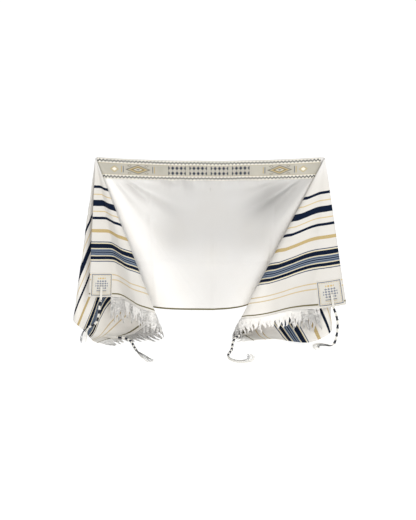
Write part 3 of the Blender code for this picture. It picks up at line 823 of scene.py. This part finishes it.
def jacquard(name, ground, layers_of):
    """Ivory satin clouded with painted shade, under masks of coloured thread laid in order."""
    material, tree, shader = new_material(name, {
        "Roughness": 0.42, "Specular IOR Level": 0.45, "Sheen Weight": 0.15})
    flat = add_node(tree, "ShaderNodeUVMap", uv_map="ribbon").outputs["UV"]
    parts = add_node(tree, "ShaderNodeSeparateXYZ", {0: flat}).outputs
    along, down = Number(tree, parts["X"]), Number(tree, parts["Y"])
    # The ground is mixed in random clouds between ivory and a darker copy of it, a painted shade of
    # the satin
    clouds = add_node(tree, "ShaderNodeTexNoise", {
        "Vector": flat, "Scale": SATIN_CLOUDS, "Detail": 2.0})
    colour = add_node(tree, "ShaderNodeMix", {
        "Factor": clouds.outputs["Fac"], 6: linear(ground[0]), 7: linear(ground[1])},
        data_type="RGBA").outputs[2]
    raised = None
    for mask, thread_colour in layers_of(along, down):
        colour = add_node(tree, "ShaderNodeMix", {
            "Factor": mask, 6: colour, 7: linear(thread_colour)}, data_type="RGBA").outputs[2]
        raised = mask if raised is None else raised.sum("MAXIMUM", mask)
    weave = threads(down, THREAD) * RIB_DEPTH + threads(along, THREAD) * WARP_DEPTH
    colour = painted_thread_shade(tree, colour, weave, -0.9, 0.9)
    dress(tree, shader, colour, weave + raised * FLOAT_RISE, 0.35, 0.0004)
    return material


# %% Ornament of the neckband and of the patches
GOLD = "#b59c5e"
SLATE = "#454f5e"
NAVY = "#101d38"
MOTIF_PLACE = 0.250
END_LOZENGE = 0.333
ZIGZAG = (0.0128, 0.0076, 0.0056)
BORDER = 0.0082
BORDER_LINE = (0.0172, 0.0012)
PANEL = 0.156
DIAMOND_PERIOD = 0.0150
GROUP_PERIOD = 0.0750
GROUP_HALF = 0.0310
BAR_HALF = 0.0120
# Rows: half width, half height and colour
MOTIF = (
    (0.0440, 0.0175, "#4b4a40"), (0.0375, 0.0149, "#b3ac96"), (0.0310, 0.0123, GOLD),
    (0.0235, 0.0093, "#4b4a40"), (0.0165, 0.0066, "#d8d1bb"), (0.0085, 0.0034, SLATE),
)
MOTIF_SPOTS = ((0.0075, 0.0045, "#6a675a"), (0.0030, 0.0020, "#e9e4d6"))
END_MOTIF = ((0.0160, 0.0130, "#b6a982"), (0.0090, 0.0072, "#ece8dc"))


def band_layers(along, down):
    """Masks and colours of the neckband, from the ground up."""
    mirrored = abs(along)
    to_motif = mirrored.away(MOTIF_PLACE)
    grouped = mirrored.below(PANEL) * along.repeated(GROUP_PERIOD).below(GROUP_HALF)
    layers = []
    for way in (1.0, -1.0):
        edge = way * (BAND_HEIGHT / 2 - BORDER)
        line = way * (BAND_HEIGHT / 2 - BORDER_LINE[0])
        layers += [(line_mask(down, edge, 2 * BORDER), "#e4e1d6"),
                   (zigzag_mask(along, down, edge, *ZIGZAG), "#23292f"),
                   (line_mask(down, line, BORDER_LINE[1]), "#a89a70")]
    for row in (0.0098, -0.0098):
        small = diamond_mask(along.repeated(DIAMOND_PERIOD), down, row, 0.0060, 0.0076)
        layers.append((small * grouped, NAVY))
    layers += [(diamond_mask(to_motif, down, 0.0, wide, tall), colour)
               for wide, tall, colour in MOTIF]
    for spot_place in (0.0300, -0.0300):
        spot = (mirrored - MOTIF_PLACE).away(spot_place)
        layers += [(diamond_mask(spot, down, level, wide, tall), colour)
                   for level in (0.0138, -0.0138) for wide, tall, colour in MOTIF_SPOTS]
    layers += [(line_mask(to_motif, step, 0.0026) * abs(down).below(BAR_HALF), colour)
               for step, colour in ((0.0520, SLATE), (0.0580, GOLD))]
    layers += [(diamond_mask(mirrored.away(END_LOZENGE), down, 0.0, wide, tall), colour)
               for wide, tall, colour in END_MOTIF]
    return layers


SMALL_PERIOD = 0.0096
TOP_ROW = (0.0235, 0.0046, 0.0040)
TOP_ROW_HALF = 0.0142
DASH_PERIOD = 0.0056
DASH_HALF = 0.0015
DASH_LINE = (0.0345, 0.0022)
PATCH_INNER = 0.0352
PATCH_GOLD = "#b99c58"
PATCH_SLATE = "#4e5a70"
# Rows: level of a row of small diamonds, and half the length of the row
PATCH_ROWS = ((0.0130, 0.0190), (0.0046, 0.0238), (-0.0038, 0.0238), (-0.0122, 0.0190))
# Rows: half width, half height and colour of a small diamond
PATCH_DIAMOND = ((0.0042, 0.0034, "#3c4f74"), (0.0014, 0.0011, "#d9d3c2"))
# Rows: level, width and colour of a line
PATCH_LINES = ((-0.0215, 0.0024, PATCH_SLATE), (-0.0258, 0.0014, PATCH_GOLD))
LINE_HALF = 0.0190


def patch_layers(along, down):
    """Masks and colours of a corner patch, from the ground up."""
    across, high = abs(along), abs(down)
    inner = across.below(PATCH_INNER) * high.below(PATCH_INNER)
    small = along.repeated(SMALL_PERIOD)
    layers = [(square_mask(along, down, 0.0420, 0.0050), "#f0ebdc"),
              (square_mask(along, down, 0.0382, 0.0026), PATCH_SLATE)]
    for run, side_of in ((along, high), (down, across)):
        dashes = run.repeated(DASH_PERIOD).below(DASH_HALF) * line_mask(side_of, *DASH_LINE)
        layers.append((dashes * inner, PATCH_GOLD))
    top_row = diamond_mask(small, down, *TOP_ROW) * across.below(TOP_ROW_HALF)
    layers.append((top_row, "#c9ad6c"))
    layers += [(diamond_mask(small, down, row, wide, tall) * across.below(reach), colour)
               for row, reach in PATCH_ROWS for wide, tall, colour in PATCH_DIAMOND]
    layers += [(line_mask(down, level, width) * across.below(LINE_HALF), colour)
               for level, width, colour in PATCH_LINES]
    return layers


# Each ground is an ivory and a darker copy of it, for the painted shade
neckband.data.materials.append(
    jacquard("ivory_satin_jacquard_band", ("#c5c2b6", "#a09c8f"), band_layers))
patch_satin = jacquard("ivory_satin_jacquard_patch", ("#dcdad2", "#c5c2b8"), patch_layers)
for patch in patches:
    patch.data.materials.append(patch_satin)
print("ornament done")

# %% [markdown]
# ## Yarn, thread and cord by Geometry Nodes
#
# Fringe, stitches and wound cord all repeat along a path, which is what Geometry Nodes are for.
# Every tree takes a mesh of plain polylines and turns it into curves. The yarn tree sweeps a
# ribbed profile along them and twists it, the stitch tree sets a small bead at even steps, and
# the cord tree sweeps two colours of thread, told apart by an attribute on the polylines.

# %% Materials of yarn and thread


def yarn_material(name, hex_light, hex_dark, roughness, grain):
    """Matt spun yarn, a little darker between its fibres."""
    material, tree, shader = new_material(name, {
        "Roughness": roughness, "Specular IOR Level": 0.2, "Sheen Weight": 0.3})
    place = add_node(tree, "ShaderNodeTexCoord").outputs["Object"]
    fuzz = add_node(tree, "ShaderNodeTexNoise", {
        "Vector": place, "Scale": grain, "Detail": 3.0}).outputs["Fac"]
    colour = add_node(tree, "ShaderNodeMix", {
        "Factor": fuzz, 6: linear(hex_light), 7: linear(hex_dark)}, data_type="RGBA").outputs[2]
    dress(tree, shader, colour, fuzz, 0.4, 0.0003)
    return material


fringe_yarn = yarn_material("twisted_white_yarn", "#fdfdfb", "#f6f4ef", 0.9, 420.0)
white_cord = yarn_material("white_tassel_cord", "#f4f3ee", "#dcd9cf", 0.7, 520.0)
navy_cord = yarn_material("navy_tassel_cord", "#101b2e", "#06101f", 0.65, 520.0)
ivory_thread = yarn_material("ivory_sewing_thread", "#ebe6d8", "#d2ccba", 0.5, 700.0)
print("yarns", [yarn.name for yarn in (fringe_yarn, white_cord, navy_cord, ivory_thread)])

# %% Geometry Nodes helpers
NUMBER = "NodeSocketFloat"
COUNT = "NodeSocketInt"
MATERIAL = "NodeSocketMaterial"
GEOMETRY = "NodeSocketGeometry"


def node_group(name, sizes):
    """A node group that turns polylines into curves; sizes gives its inputs and their values."""
    group = bpy.data.node_groups.new(name, "GeometryNodeTree")
    group.interface.new_socket("Geometry", in_out="INPUT", socket_type=GEOMETRY)
    for label, (kind, value) in sizes.items():
        socket = group.interface.new_socket(label, in_out="INPUT", socket_type=kind)
        if value is not None:
            socket.default_value = value
    group.interface.new_socket("Geometry", in_out="OUTPUT", socket_type=GEOMETRY)
    source = add_node(group, "NodeGroupInput").outputs
    curves = add_node(group, "GeometryNodeMeshToCurve", {0: source["Geometry"]}).outputs[0]
    return group, source, curves


def realised(group, geometry, material):
    """Real geometry in one material."""
    real = add_node(group, "GeometryNodeRealizeInstances", {0: geometry}).outputs[0]
    return add_node(group, "GeometryNodeSetMaterial", {
        "Geometry": real, "Material": material}).outputs[0]


def polylines(name, paths, marks=None):
    """A mesh of plain polylines, with an optional mark on the points of each."""
    points, edges, flags = [], [], []
    for k, path in enumerate(paths):
        first = len(points)
        points += [tuple(point) for point in path]
        edges += [(first + j, first + j + 1) for j in range(len(path) - 1)]
        flags += [marks[k] if marks else 0.0] * len(path)
    mesh = bpy.data.meshes.new(name)
    mesh.from_pydata(points, edges, [])
    mesh.attributes.new("dark", "FLOAT", "POINT").data.foreach_set("value", flags)
    return put(name, mesh)


def grow(guide, group, values):
    """Run a node group on a polyline guide and keep the result as a plain mesh."""
    modifier = guide.modifiers.new("grow", "NODES")
    modifier.node_group = group
    for item in group.interface.items_tree:
        if item.item_type == "SOCKET" and item.in_out == "INPUT" and item.name in values:
            modifier[item.identifier] = values[item.name]
    bpy.context.view_layer.update()
    evaluated = guide.evaluated_get(bpy.context.evaluated_depsgraph_get())
    mesh = bpy.data.meshes.new_from_object(evaluated)
    name = guide.name
    guide.modifiers.remove(modifier)
    bpy.data.objects.remove(guide, do_unlink=True)
    mesh.name = name
    mesh.polygons.foreach_set("use_smooth", [True] * len(mesh.polygons))
    print(name, "faces", len(mesh.polygons))
    return put(name, mesh)


def yarn_group():
    """Sweep a twisted, ribbed profile along every polyline."""
    group, source, curves = node_group("twisted_yarns", {
        "Radius": (NUMBER, 0.0009), "Ply depth": (NUMBER, 0.6), "Twist": (NUMBER, 2.0),
        "Plies": (COUNT, 3), "Material": (MATERIAL, None)})
    length = add_node(group, "GeometryNodeSplineParameter").outputs["Length"]
    twisted = add_node(group, "GeometryNodeSetCurveTilt", {
        "Curve": curves, "Tilt": Number(group, length) * source["Twist"]})
    profile = add_node(group, "GeometryNodeCurveStar", {
        "Points": source["Plies"], "Outer Radius": source["Radius"],
        "Inner Radius": Number(group, source["Radius"]) * source["Ply depth"]})
    yarn = add_node(group, "GeometryNodeCurveToMesh", {
        "Curve": twisted.outputs[0], "Profile Curve": profile.outputs[0], "Fill Caps": True})
    add_node(group, "NodeGroupOutput", {
        "Geometry": realised(group, yarn.outputs[0], source["Material"])})
    return group


def stitch_group():
    """Set a small thread bead at even steps along every polyline."""
    group, source, curves = node_group("even_stitches", {
        "Pitch": (NUMBER, 0.003), "Length": (NUMBER, 0.0021), "Thickness": (NUMBER, 0.0006),
        "Material": (MATERIAL, None)})
    spots = add_node(group, "GeometryNodeCurveToPoints", {
        "Curve": curves, "Length": source["Pitch"]}, mode="LENGTH").outputs
    bead = add_node(group, "GeometryNodeMeshUVSphere", {"Segments": 6, "Rings": 4, "Radius": 0.5})
    size = add_node(group, "ShaderNodeCombineXYZ", {
        0: source["Thickness"], 1: source["Thickness"], 2: source["Length"]})
    placed = add_node(group, "GeometryNodeInstanceOnPoints", {
        "Points": spots["Points"], "Instance": bead.outputs["Mesh"],
        "Rotation": spots["Rotation"], "Scale": size.outputs[0]}).outputs[0]
    add_node(group, "NodeGroupOutput", {"Geometry": realised(group, placed, source["Material"])})
    return group


def cord_group():
    """Sweep round thread along every polyline, white or navy by its mark."""
    group, source, curves = node_group("two_colour_cord", {
        "Radius": (NUMBER, 0.0006), "Sides": (COUNT, 6), "Light": (MATERIAL, None),
        "Dark": (MATERIAL, None)})
    profile = add_node(group, "GeometryNodeCurvePrimitiveCircle", {
        "Resolution": source["Sides"], "Radius": source["Radius"]})
    cord = add_node(group, "GeometryNodeCurveToMesh", {
        "Curve": curves, "Profile Curve": profile.outputs[0], "Fill Caps": True})
    light = realised(group, cord.outputs[0], source["Light"])
    mark = add_node(group, "GeometryNodeInputNamedAttribute", {"Name": "dark"})
    is_dark = add_node(group, "FunctionNodeCompare", {0: mark.outputs[0], 1: 0.5})
    two_colours = add_node(group, "GeometryNodeSetMaterial", {
        "Geometry": light, "Selection": is_dark.outputs[0], "Material": source["Dark"]})
    add_node(group, "NodeGroupOutput", {"Geometry": two_colours.outputs[0]})
    return group


yarns = yarn_group()
stitches = stitch_group()
two_colour_cord = cord_group()
print("node groups", [group.name for group in (yarns, stitches, two_colour_cord)])

# %% [markdown]
# ## Sewing
#
# A ribbon is sewn down with a line of stitches just inside its edge, and each corner hole is bound
# with a small ring of thread so that the tassel doesn't tear it. The lines are drawn on the
# ribbons' own surface, and the stitch tree does the rest.

# %% Stitch lines
STITCH_INSET = 0.0016
STITCH_LIFT = RIBBON_LIFT + RIBBON_THICKNESS / 2 + 0.0001
LINE_STEP = 0.003
HOLE_FROM_END = 0.040
HOLE_FROM_EDGE = 0.046
HOLE_RINGS = (0.0042, 0.0049)
RING_POINTS = 25


def border_path(along, down):
    """Closed rectangular path on the cloth, just inside the edge of a ribbon."""
    a0, a1 = min(along) + STITCH_INSET, max(along) - STITCH_INSET
    d0, d1 = min(down) + STITCH_INSET, max(down) - STITCH_INSET
    corners = [(a0, d0), (a1, d0), (a1, d1), (a0, d1), (a0, d0)]
    flat = []
    for (ax, ay), (bx, by) in zip(corners, corners[1:]):
        count = max(2, round(math.hypot(bx - ax, by - ay) / LINE_STEP))
        flat += [(ax + (bx - ax) * k / count, ay + (by - ay) * k / count) for k in range(count)]
    flat = np.array(flat + [corners[0]])
    return cloth_points(flat[:, 0], flat[:, 1], STITCH_LIFT)


band_edge = border_path(BAND_ALONG, BAND_DOWN)
band_stitches = grow(polylines("neckband_stitches", [band_edge]), stitches,
                     {"Pitch": 0.0032, "Material": ivory_thread})
patch_paths = []
ring_bend = np.linspace(0.0, 2 * math.pi, RING_POINTS)
for corner, side, upper in CORNERS:
    patch_paths.append(border_path(*patch_spans(side, upper)))
    hole = corner_place(side, upper, HOLE_FROM_END, HOLE_FROM_EDGE)
    for ring in HOLE_RINGS:
        patch_paths.append(cloth_points(hole[0] + ring * np.cos(ring_bend),
                                        hole[1] + ring * np.sin(ring_bend), STITCH_LIFT))
patch_stitches = grow(polylines("patch_stitches", patch_paths), stitches,
                      {"Pitch": 0.0027, "Length": 0.0019, "Material": ivory_thread})

# %% [markdown]
# ## Fringe
#
# The fringe is the cloth's own warp, left unwoven at the short ends and twisted into yarns. Yarns
# cling together, so they hang in tufts: full at the hem, pointed at the tip, with gaps between.
# Each yarn follows the cloth's rule past the hem, so it hangs, leans or lies on the table as the
# cloth beside it does. Its tuft draws it sideways more and more towards the tip.

# %% Yarn paths
YARN_SPACING = 0.00125
YARN_RADIUS = 0.00170
YARN_SHAPE = {"Radius": YARN_RADIUS, "Ply depth": 0.45, "Twist": 700.0, "Plies": 3}
YARN_STEPS = 17
FRINGE_SEED = 7
HEM_OVERLAP = 0.002
# Under the two upper patches the hem is bare, and the crumpled right fringe reaches less far
CORNER_BARE = {"front": 0.088, "middle": 0.0}
YARN_REACH = {("left", "front"): 0.090, ("left", "middle"): 0.084,
              ("right", "front"): 0.066, ("right", "middle"): 0.078}
YARN_LENGTHS = (0.86, 1.02)
# Tufts: width, uneven borders, lengths, drift along the hem, and how they gather at the tip
TUFT_WIDTH = 0.015
TUFT_UNEVEN = 0.28
TUFT_LENGTHS = (0.68, 1.06)
TUFT_DRIFT = 0.007
TUFT_PULL = 0.90
TUFT_GATHER = (0.38, 1.10)
# Waves: how far and how often a yarn bends beside its line, and then off the cloth's face
YARN_WAVE = {"left": 0.0016, "right": 0.0034}
WAVE_BENDS = 8.5
STRAY = 0.0011
STRAY_BENDS = (4.0, 9.0)
FULL_TURN = 6.28
OFF_FACE = (0.0002, 0.0008)
FACE_WAVE = 0.0006
FACE_BENDS = 6.0
FACE_START = (0.0, 0.3)
EDGE_LIMITS = (0.001, CLOTH_HEIGHT + 0.02)


def fringe_paths(side, stretch, first_angle, last_angle, seed):
    """Paths of the yarns along one stretch of a short end."""
    random = np.random.default_rng(seed)
    low = END[side] * math.tan(math.radians(first_angle)) + CORNER_BARE[stretch]
    width = END[side] * math.tan(math.radians(last_angle)) - low
    count = round(width / YARN_SPACING)
    tufts = max(1, round(width / TUFT_WIDTH))
    borders = np.linspace(0.0, 1.0, tufts + 1)
    borders[1:-1] += random.uniform(-TUFT_UNEVEN, TUFT_UNEVEN, tufts - 1) / tufts
    tuft_length = YARN_REACH[side, stretch] * random.uniform(*TUFT_LENGTHS, tufts)
    tuft_drift = random.uniform(-TUFT_DRIFT, TUFT_DRIFT, tufts)
    tuft_wave = random.uniform(0.0, FULL_TURN, tufts)
    steps = np.concatenate([[-HEM_OVERLAP / YARN_REACH[side, stretch]],
                            np.linspace(0.0, 1.0, YARN_STEPS)])
    shown = np.maximum(steps, 0.0)
    pull = TUFT_PULL * ramp(shown, *TUFT_GATHER)
    paths = []
    for k in range(count):
        share = (k + 0.5) / count
        tuft = int(np.clip(np.searchsorted(borders, share) - 1, 0, tufts - 1))
        root = low + share * width
        centre = low + (borders[tuft] + borders[tuft + 1]) / 2 * width + tuft_drift[tuft]
        length = tuft_length[tuft] * random.uniform(*YARN_LENGTHS)
        wave = YARN_WAVE[side] * np.sin(shown * WAVE_BENDS + tuft_wave[tuft]) * shown
        stray = STRAY * shown * np.sin(
            shown * random.uniform(*STRAY_BENDS) + random.uniform(0.0, FULL_TURN))
        down = np.clip(root + (centre - root) * pull + wave + stray, *EDGE_LIMITS)
        along = OUTWARD[side] * (HELD_X + END[side] + steps * length)
        off_face = random.uniform(*OFF_FACE) + FACE_WAVE * np.sin(
            shown * FACE_BENDS + tuft_wave[tuft])
        lift = off_face * ramp(shown, *FACE_START)
        points = smooth_cloth(along, down) + lift[:, None] * cloth_normals(along, down)
        points[:, 2] = np.maximum(points[:, 2], YARN_RADIUS - TABLE_DROP)
        paths.append(points)
    return paths


fringes = []
for side in ("left", "right"):
    first_fold = FOLDS[side][0]
    for stretch, start, stop in (("front", 0.0, first_fold),
                                 ("middle", first_fold, lower_corner(side))):
        paths = fringe_paths(side, stretch, start, stop, FRINGE_SEED + len(fringes))
        guide = polylines(f"{side}_{stretch}_fringe_yarns", paths)
        fringes.append(grow(guide, yarns, {**YARN_SHAPE, "Material": fringe_yarn}))

# %% [markdown]
# ## Corner tassels
#
# At each corner a few long cords go through the hole and over the hem. They are wound round with
# navy and white cord, in turns of one colour and then the other with a knot between, and below
# the last knot they hang loose. A turn is a helix about the tassel's route, which is worked out
# by carrying a pair of directions along the route without twisting them. The routes are the same
# points as in the imported model.

# %% Routes of the four tassels
TASSEL_RADIUS = 0.0028
HALF_HEM = 0.0006
PATCH_CLEAR = 0.0020
LOOP_KNOTS = 7
STRIP = 0.004
ROUTE_STEP = 0.0015
KNOT_POINTS = 24
# Rows: across from the held corner towards the middle, towards the viewer, down from it
LEFT_PATCH_TASSEL = (
    (0.008, 0.066, 0.532), (0.005, 0.068, 0.560), (-0.002, 0.070, 0.586),
    (-0.014, 0.071, 0.600), (-0.032, 0.072, 0.609), (-0.045, 0.075, 0.624),
    (-0.049, 0.081, 0.642), (-0.049, 0.090, 0.655), (-0.048, 0.104, 0.657),
)
LEFT_LOWER_TASSEL = (
    (0.070, 0.064, 0.651), (0.090, 0.070, 0.650), (0.108, 0.084, 0.650),
    (0.122, 0.110, 0.651), (0.133, 0.146, 0.656), (0.145, 0.188, 0.657),
    (0.160, 0.225, 0.657), (0.181, 0.262, 0.657), (0.208, 0.302, 0.657),
)
RIGHT_PATCH_TASSEL = (
    (-0.042, 0.148, 0.542), (-0.046, 0.156, 0.568), (-0.044, 0.160, 0.602),
    (-0.038, 0.156, 0.634), (-0.028, 0.144, 0.653), (-0.010, 0.126, 0.657),
    (0.012, 0.122, 0.657), (0.028, 0.136, 0.657), (0.026, 0.158, 0.657),
    (0.008, 0.170, 0.657),
)
RIGHT_LOWER_TASSEL = (
    (0.292, 0.060, 0.643), (0.300, 0.077, 0.640), (0.311, 0.096, 0.639),
    (0.320, 0.118, 0.642), (0.325, 0.145, 0.650), (0.328, 0.176, 0.656),
    (0.336, 0.207, 0.657), (0.341, 0.236, 0.657), (0.334, 0.268, 0.657),
    (0.308, 0.292, 0.657), (0.272, 0.286, 0.657), (0.260, 0.250, 0.657),
    (0.273, 0.205, 0.657),
)
# Wound share of the route and clearance at the hole, for each corner
TASSELS = {
    "left_upper": (LEFT_PATCH_TASSEL, 0.70, 0.0005),
    "left_lower": (LEFT_LOWER_TASSEL, 0.60, 0.0005),
    "right_upper": (RIGHT_PATCH_TASSEL, 0.62, 0.0005),
    "right_lower": (RIGHT_LOWER_TASSEL, 0.55, 0.0024),
}
TASSEL_SEAT = 0.0026


def sampled(marks, travelled, line):
    """Points of a line at the given lengths along it."""
    return np.stack([np.interp(marks, travelled, line[:, k]) for k in range(3)], axis=-1)


def smooth_route(knots):
    """Evenly spaced points on a smooth curve through the knots."""
    knots = [np.array(knot, dtype=float) for knot in knots]
    dense = []
    for k in range(len(knots) - 1):
        before = knots[max(k - 1, 0)]
        after = knots[min(k + 2, len(knots) - 1)]
        t = np.linspace(0.0, 1.0, KNOT_POINTS, endpoint=False)[:, None]
        a = 2 * knots[k]
        b = knots[k + 1] - before
        c = 2 * before - 5 * knots[k] + 4 * knots[k + 1] - after
        d = 3 * knots[k] - before - 3 * knots[k + 1] + after
        dense.append((a + b * t + c * t ** 2 + d * t ** 3) / 2)
    dense = np.concatenate(dense + [knots[-1][None, :]])
    travelled = np.concatenate([[0.0], np.cumsum(np.linalg.norm(np.diff(dense, axis=0), axis=1))])
    marks = np.linspace(0.0, travelled[-1], max(2, round(travelled[-1] / ROUTE_STEP)))
    return sampled(marks, travelled, dense)


def tassel_route(corner, side, upper):
    """The middle line of a tassel from its hole to its tip."""
    route, _, touch = TASSELS[corner]
    sign = 1.0 if side == "left" else -1.0
    facing = 1.0 if upper else -1.0
    seat = HALF_HEM + TASSEL_RADIUS + (PATCH_CLEAR if upper else 0.0)
    knots = []
    for k, from_end in enumerate(np.linspace(HOLE_FROM_END, -STRIP, LOOP_KNOTS)):
        place = [np.array(v) for v in corner_place(side, upper, from_end, HOLE_FROM_EDGE)]
        lift = facing * (seat + (touch if k == 0 else TASSEL_SEAT))
        knots.append(smooth_cloth(*place) + lift * cloth_normals(*place))
    knots += [(sign * (u - HELD_X), -forward, -down) for u, forward, down in route]
    return smooth_route(knots)


def carried_frames(path):
    """Two directions across the path at each point, carried along without twisting."""
    ahead = np.gradient(path, axis=0)
    ahead /= np.linalg.norm(ahead, axis=1, keepdims=True)
    across = [np.array(Vector(ahead[0]).orthogonal().normalized())]
    for before, now in zip(ahead, ahead[1:]):
        turn = Vector(before).rotation_difference(Vector(now))
        across.append(np.array(turn @ Vector(across[-1])))
    across = np.array(across)
    return across, np.cross(ahead, across)


# %% [markdown]
# The first stretch, from the hole to the hem, is bare white cord. Then come the wound blocks.
# Each block is one helix of thread in one colour; a short thicker helix makes the knot between
# two blocks. Loose strings spread from the last knot and lie in soft waves.

# %% Wound blocks and loose strings
BLOCK = 0.0110
KNOT = 0.0034
SHORTEST = 0.004
BLOCK_RADIUS = 0.0034
KNOT_RADIUS = 0.0043
WRAP_PITCH = 0.0013
WRAP_POINTS = 11
STRAND_RADIUS = 0.00070
BARE_CORDS = 14
BARE_PAST_HEM = 0.012
CORE_CORDS = 4
CORE_RADIUS = 0.0010
CORE_EVERY = 4
LOOSE_STRINGS = 12
NAVY_STRINGS = 4
# Loose strings: uneven spread, how far and how soon they splay, and their waves and lengths
LOOSE_UNEVEN = 0.2
SPLAY_START = 0.0012
SPLAY = 0.0110
SPLAY_BENDS = (1.6, 2.6)
SPLAY_POWER = 1.2
SPLAY_FLAT = 0.35
LOOSE_WAVE = 0.0030
LOOSE_BENDS = (6.0, 12.0)
WAVE_FLAT = np.array([1.0, 1.0, 0.2])
LOOSE_LENGTHS = (0.82, 1.0)
LOOSE_PILE = 0.0008
LOOSE_LAYERS = 3
LOOSE_EVERY = 3
TASSEL_SEED = 21


def keep_above(points, lift=0.0):
    """Points lifted onto the table where they would sink into it."""
    points = np.array(points)
    points[:, 2] = np.maximum(points[:, 2], STRAND_RADIUS - TABLE_DROP + lift)
    return points


def build_tassel(corner, side, upper, seed):
    """All threads of one corner tassel, as one mesh of two colours."""
    random = np.random.default_rng(seed)
    path = tassel_route(corner, side, upper)
    across, second = carried_frames(path)
    step = float(np.linalg.norm(np.diff(path, axis=0), axis=1).mean())
    travelled = np.arange(len(path)) * step
    wound_end = travelled[-1] * TASSELS[corner][1]
    bare_end = HOLE_FROM_END + BARE_PAST_HEM
    bare = int(bare_end / step)
    wound = int(wound_end / step)

    def beside(part, turn, radius):
        """Offsets to one side of a stretch of the route, at a share of a full turn."""
        bend = 2 * math.pi * turn
        return radius * (math.cos(bend) * across[part] + math.sin(bend) * second[part])

    def helix(start, stop, radius):
        """Turns of thread round the route between two lengths along it."""
        turns = (stop - start) / WRAP_PITCH
        marks = np.linspace(start, stop, max(4, int(turns * WRAP_POINTS)))
        bend = 2 * math.pi * (marks - start)[:, None] / WRAP_PITCH
        middle, first, other = [sampled(marks, travelled, line) for line in (path, across, second)]
        return middle + radius * (np.cos(bend) * first + np.sin(bend) * other)

    # Each thread is its points and its mark, which is 1 for navy
    strands = []
    for part, cords, radius in ((slice(bare), BARE_CORDS, BLOCK_RADIUS),
                                (slice(bare - 2, wound + 1, CORE_EVERY), CORE_CORDS, CORE_RADIUS)):
        strands += [(keep_above(path[part] + beside(part, j / cords, radius)), 0.0)
                    for j in range(cords)]
    start = bare_end
    dark = True
    while start < wound_end - SHORTEST:
        for length, radius, navy in ((KNOT, KNOT_RADIUS, not dark), (BLOCK, BLOCK_RADIUS, dark)):
            stop = min(start + length, wound_end)
            if stop > start:
                strands.append((keep_above(helix(start, stop, radius)), float(navy)))
            start = stop
        dark = not dark
    tail = slice(wound - 2, len(path))
    share = np.linspace(0.0, 1.0, len(path[tail]))[:, None]
    for j in range(LOOSE_STRINGS):
        turn = (j + random.uniform(-LOOSE_UNEVEN, LOOSE_UNEVEN)) / LOOSE_STRINGS
        splay = SPLAY * np.sin(share * random.uniform(*SPLAY_BENDS)) ** SPLAY_POWER
        offset = beside(tail, turn, SPLAY_START + splay)
        offset[:, 2] *= SPLAY_FLAT
        wave = LOOSE_WAVE * share * np.sin(share * random.uniform(*LOOSE_BENDS) + j)
        string = keep_above(path[tail] + offset + wave * across[tail] * WAVE_FLAT,
                            LOOSE_PILE * (j % LOOSE_LAYERS))
        keep = int(len(string) * random.uniform(*LOOSE_LENGTHS))
        strands.append((string[:keep:LOOSE_EVERY], float(j < NAVY_STRINGS)))
    paths, marks = zip(*strands)
    guide = polylines(corner + "_tassel_cords", paths, marks)
    return grow(guide, two_colour_cord, {
        "Radius": STRAND_RADIUS, "Sides": 6, "Light": white_cord, "Dark": navy_cord})


tassels = [build_tassel(corner, side, upper, TASSEL_SEED + k)
           for k, (corner, side, upper) in enumerate(CORNERS)]

# %% [markdown]
# ## Hand the pieces to the frame
#
# Every piece rides on the one body of the model, and the plain solids it stands for are hidden.

# %% Ride and replace
CLOTH_NODES = ("back_panel", "left_front_fold", "left_middle_fold",
               "right_front_fold", "right_middle_fold")
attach(shawl_cloth, "root")
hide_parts(*CLOTH_NODES)
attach(neckband, "root")
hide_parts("neckband")
for patch, (corner, _, _) in zip(patches, CORNERS):
    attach(patch, "root")
    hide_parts(corner + "_patch")
for piece in (band_stitches, patch_stitches):
    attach(piece, "root")
for piece, node in zip(fringes, ("left_front_fringe", "left_middle_fringe",
                                 "right_front_fringe", "right_middle_fringe")):
    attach(piece, "root")
    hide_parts(node)
for piece, (corner, _, _) in zip(tassels, CORNERS):
    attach(piece, "root")
    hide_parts(corner + "_tassel")
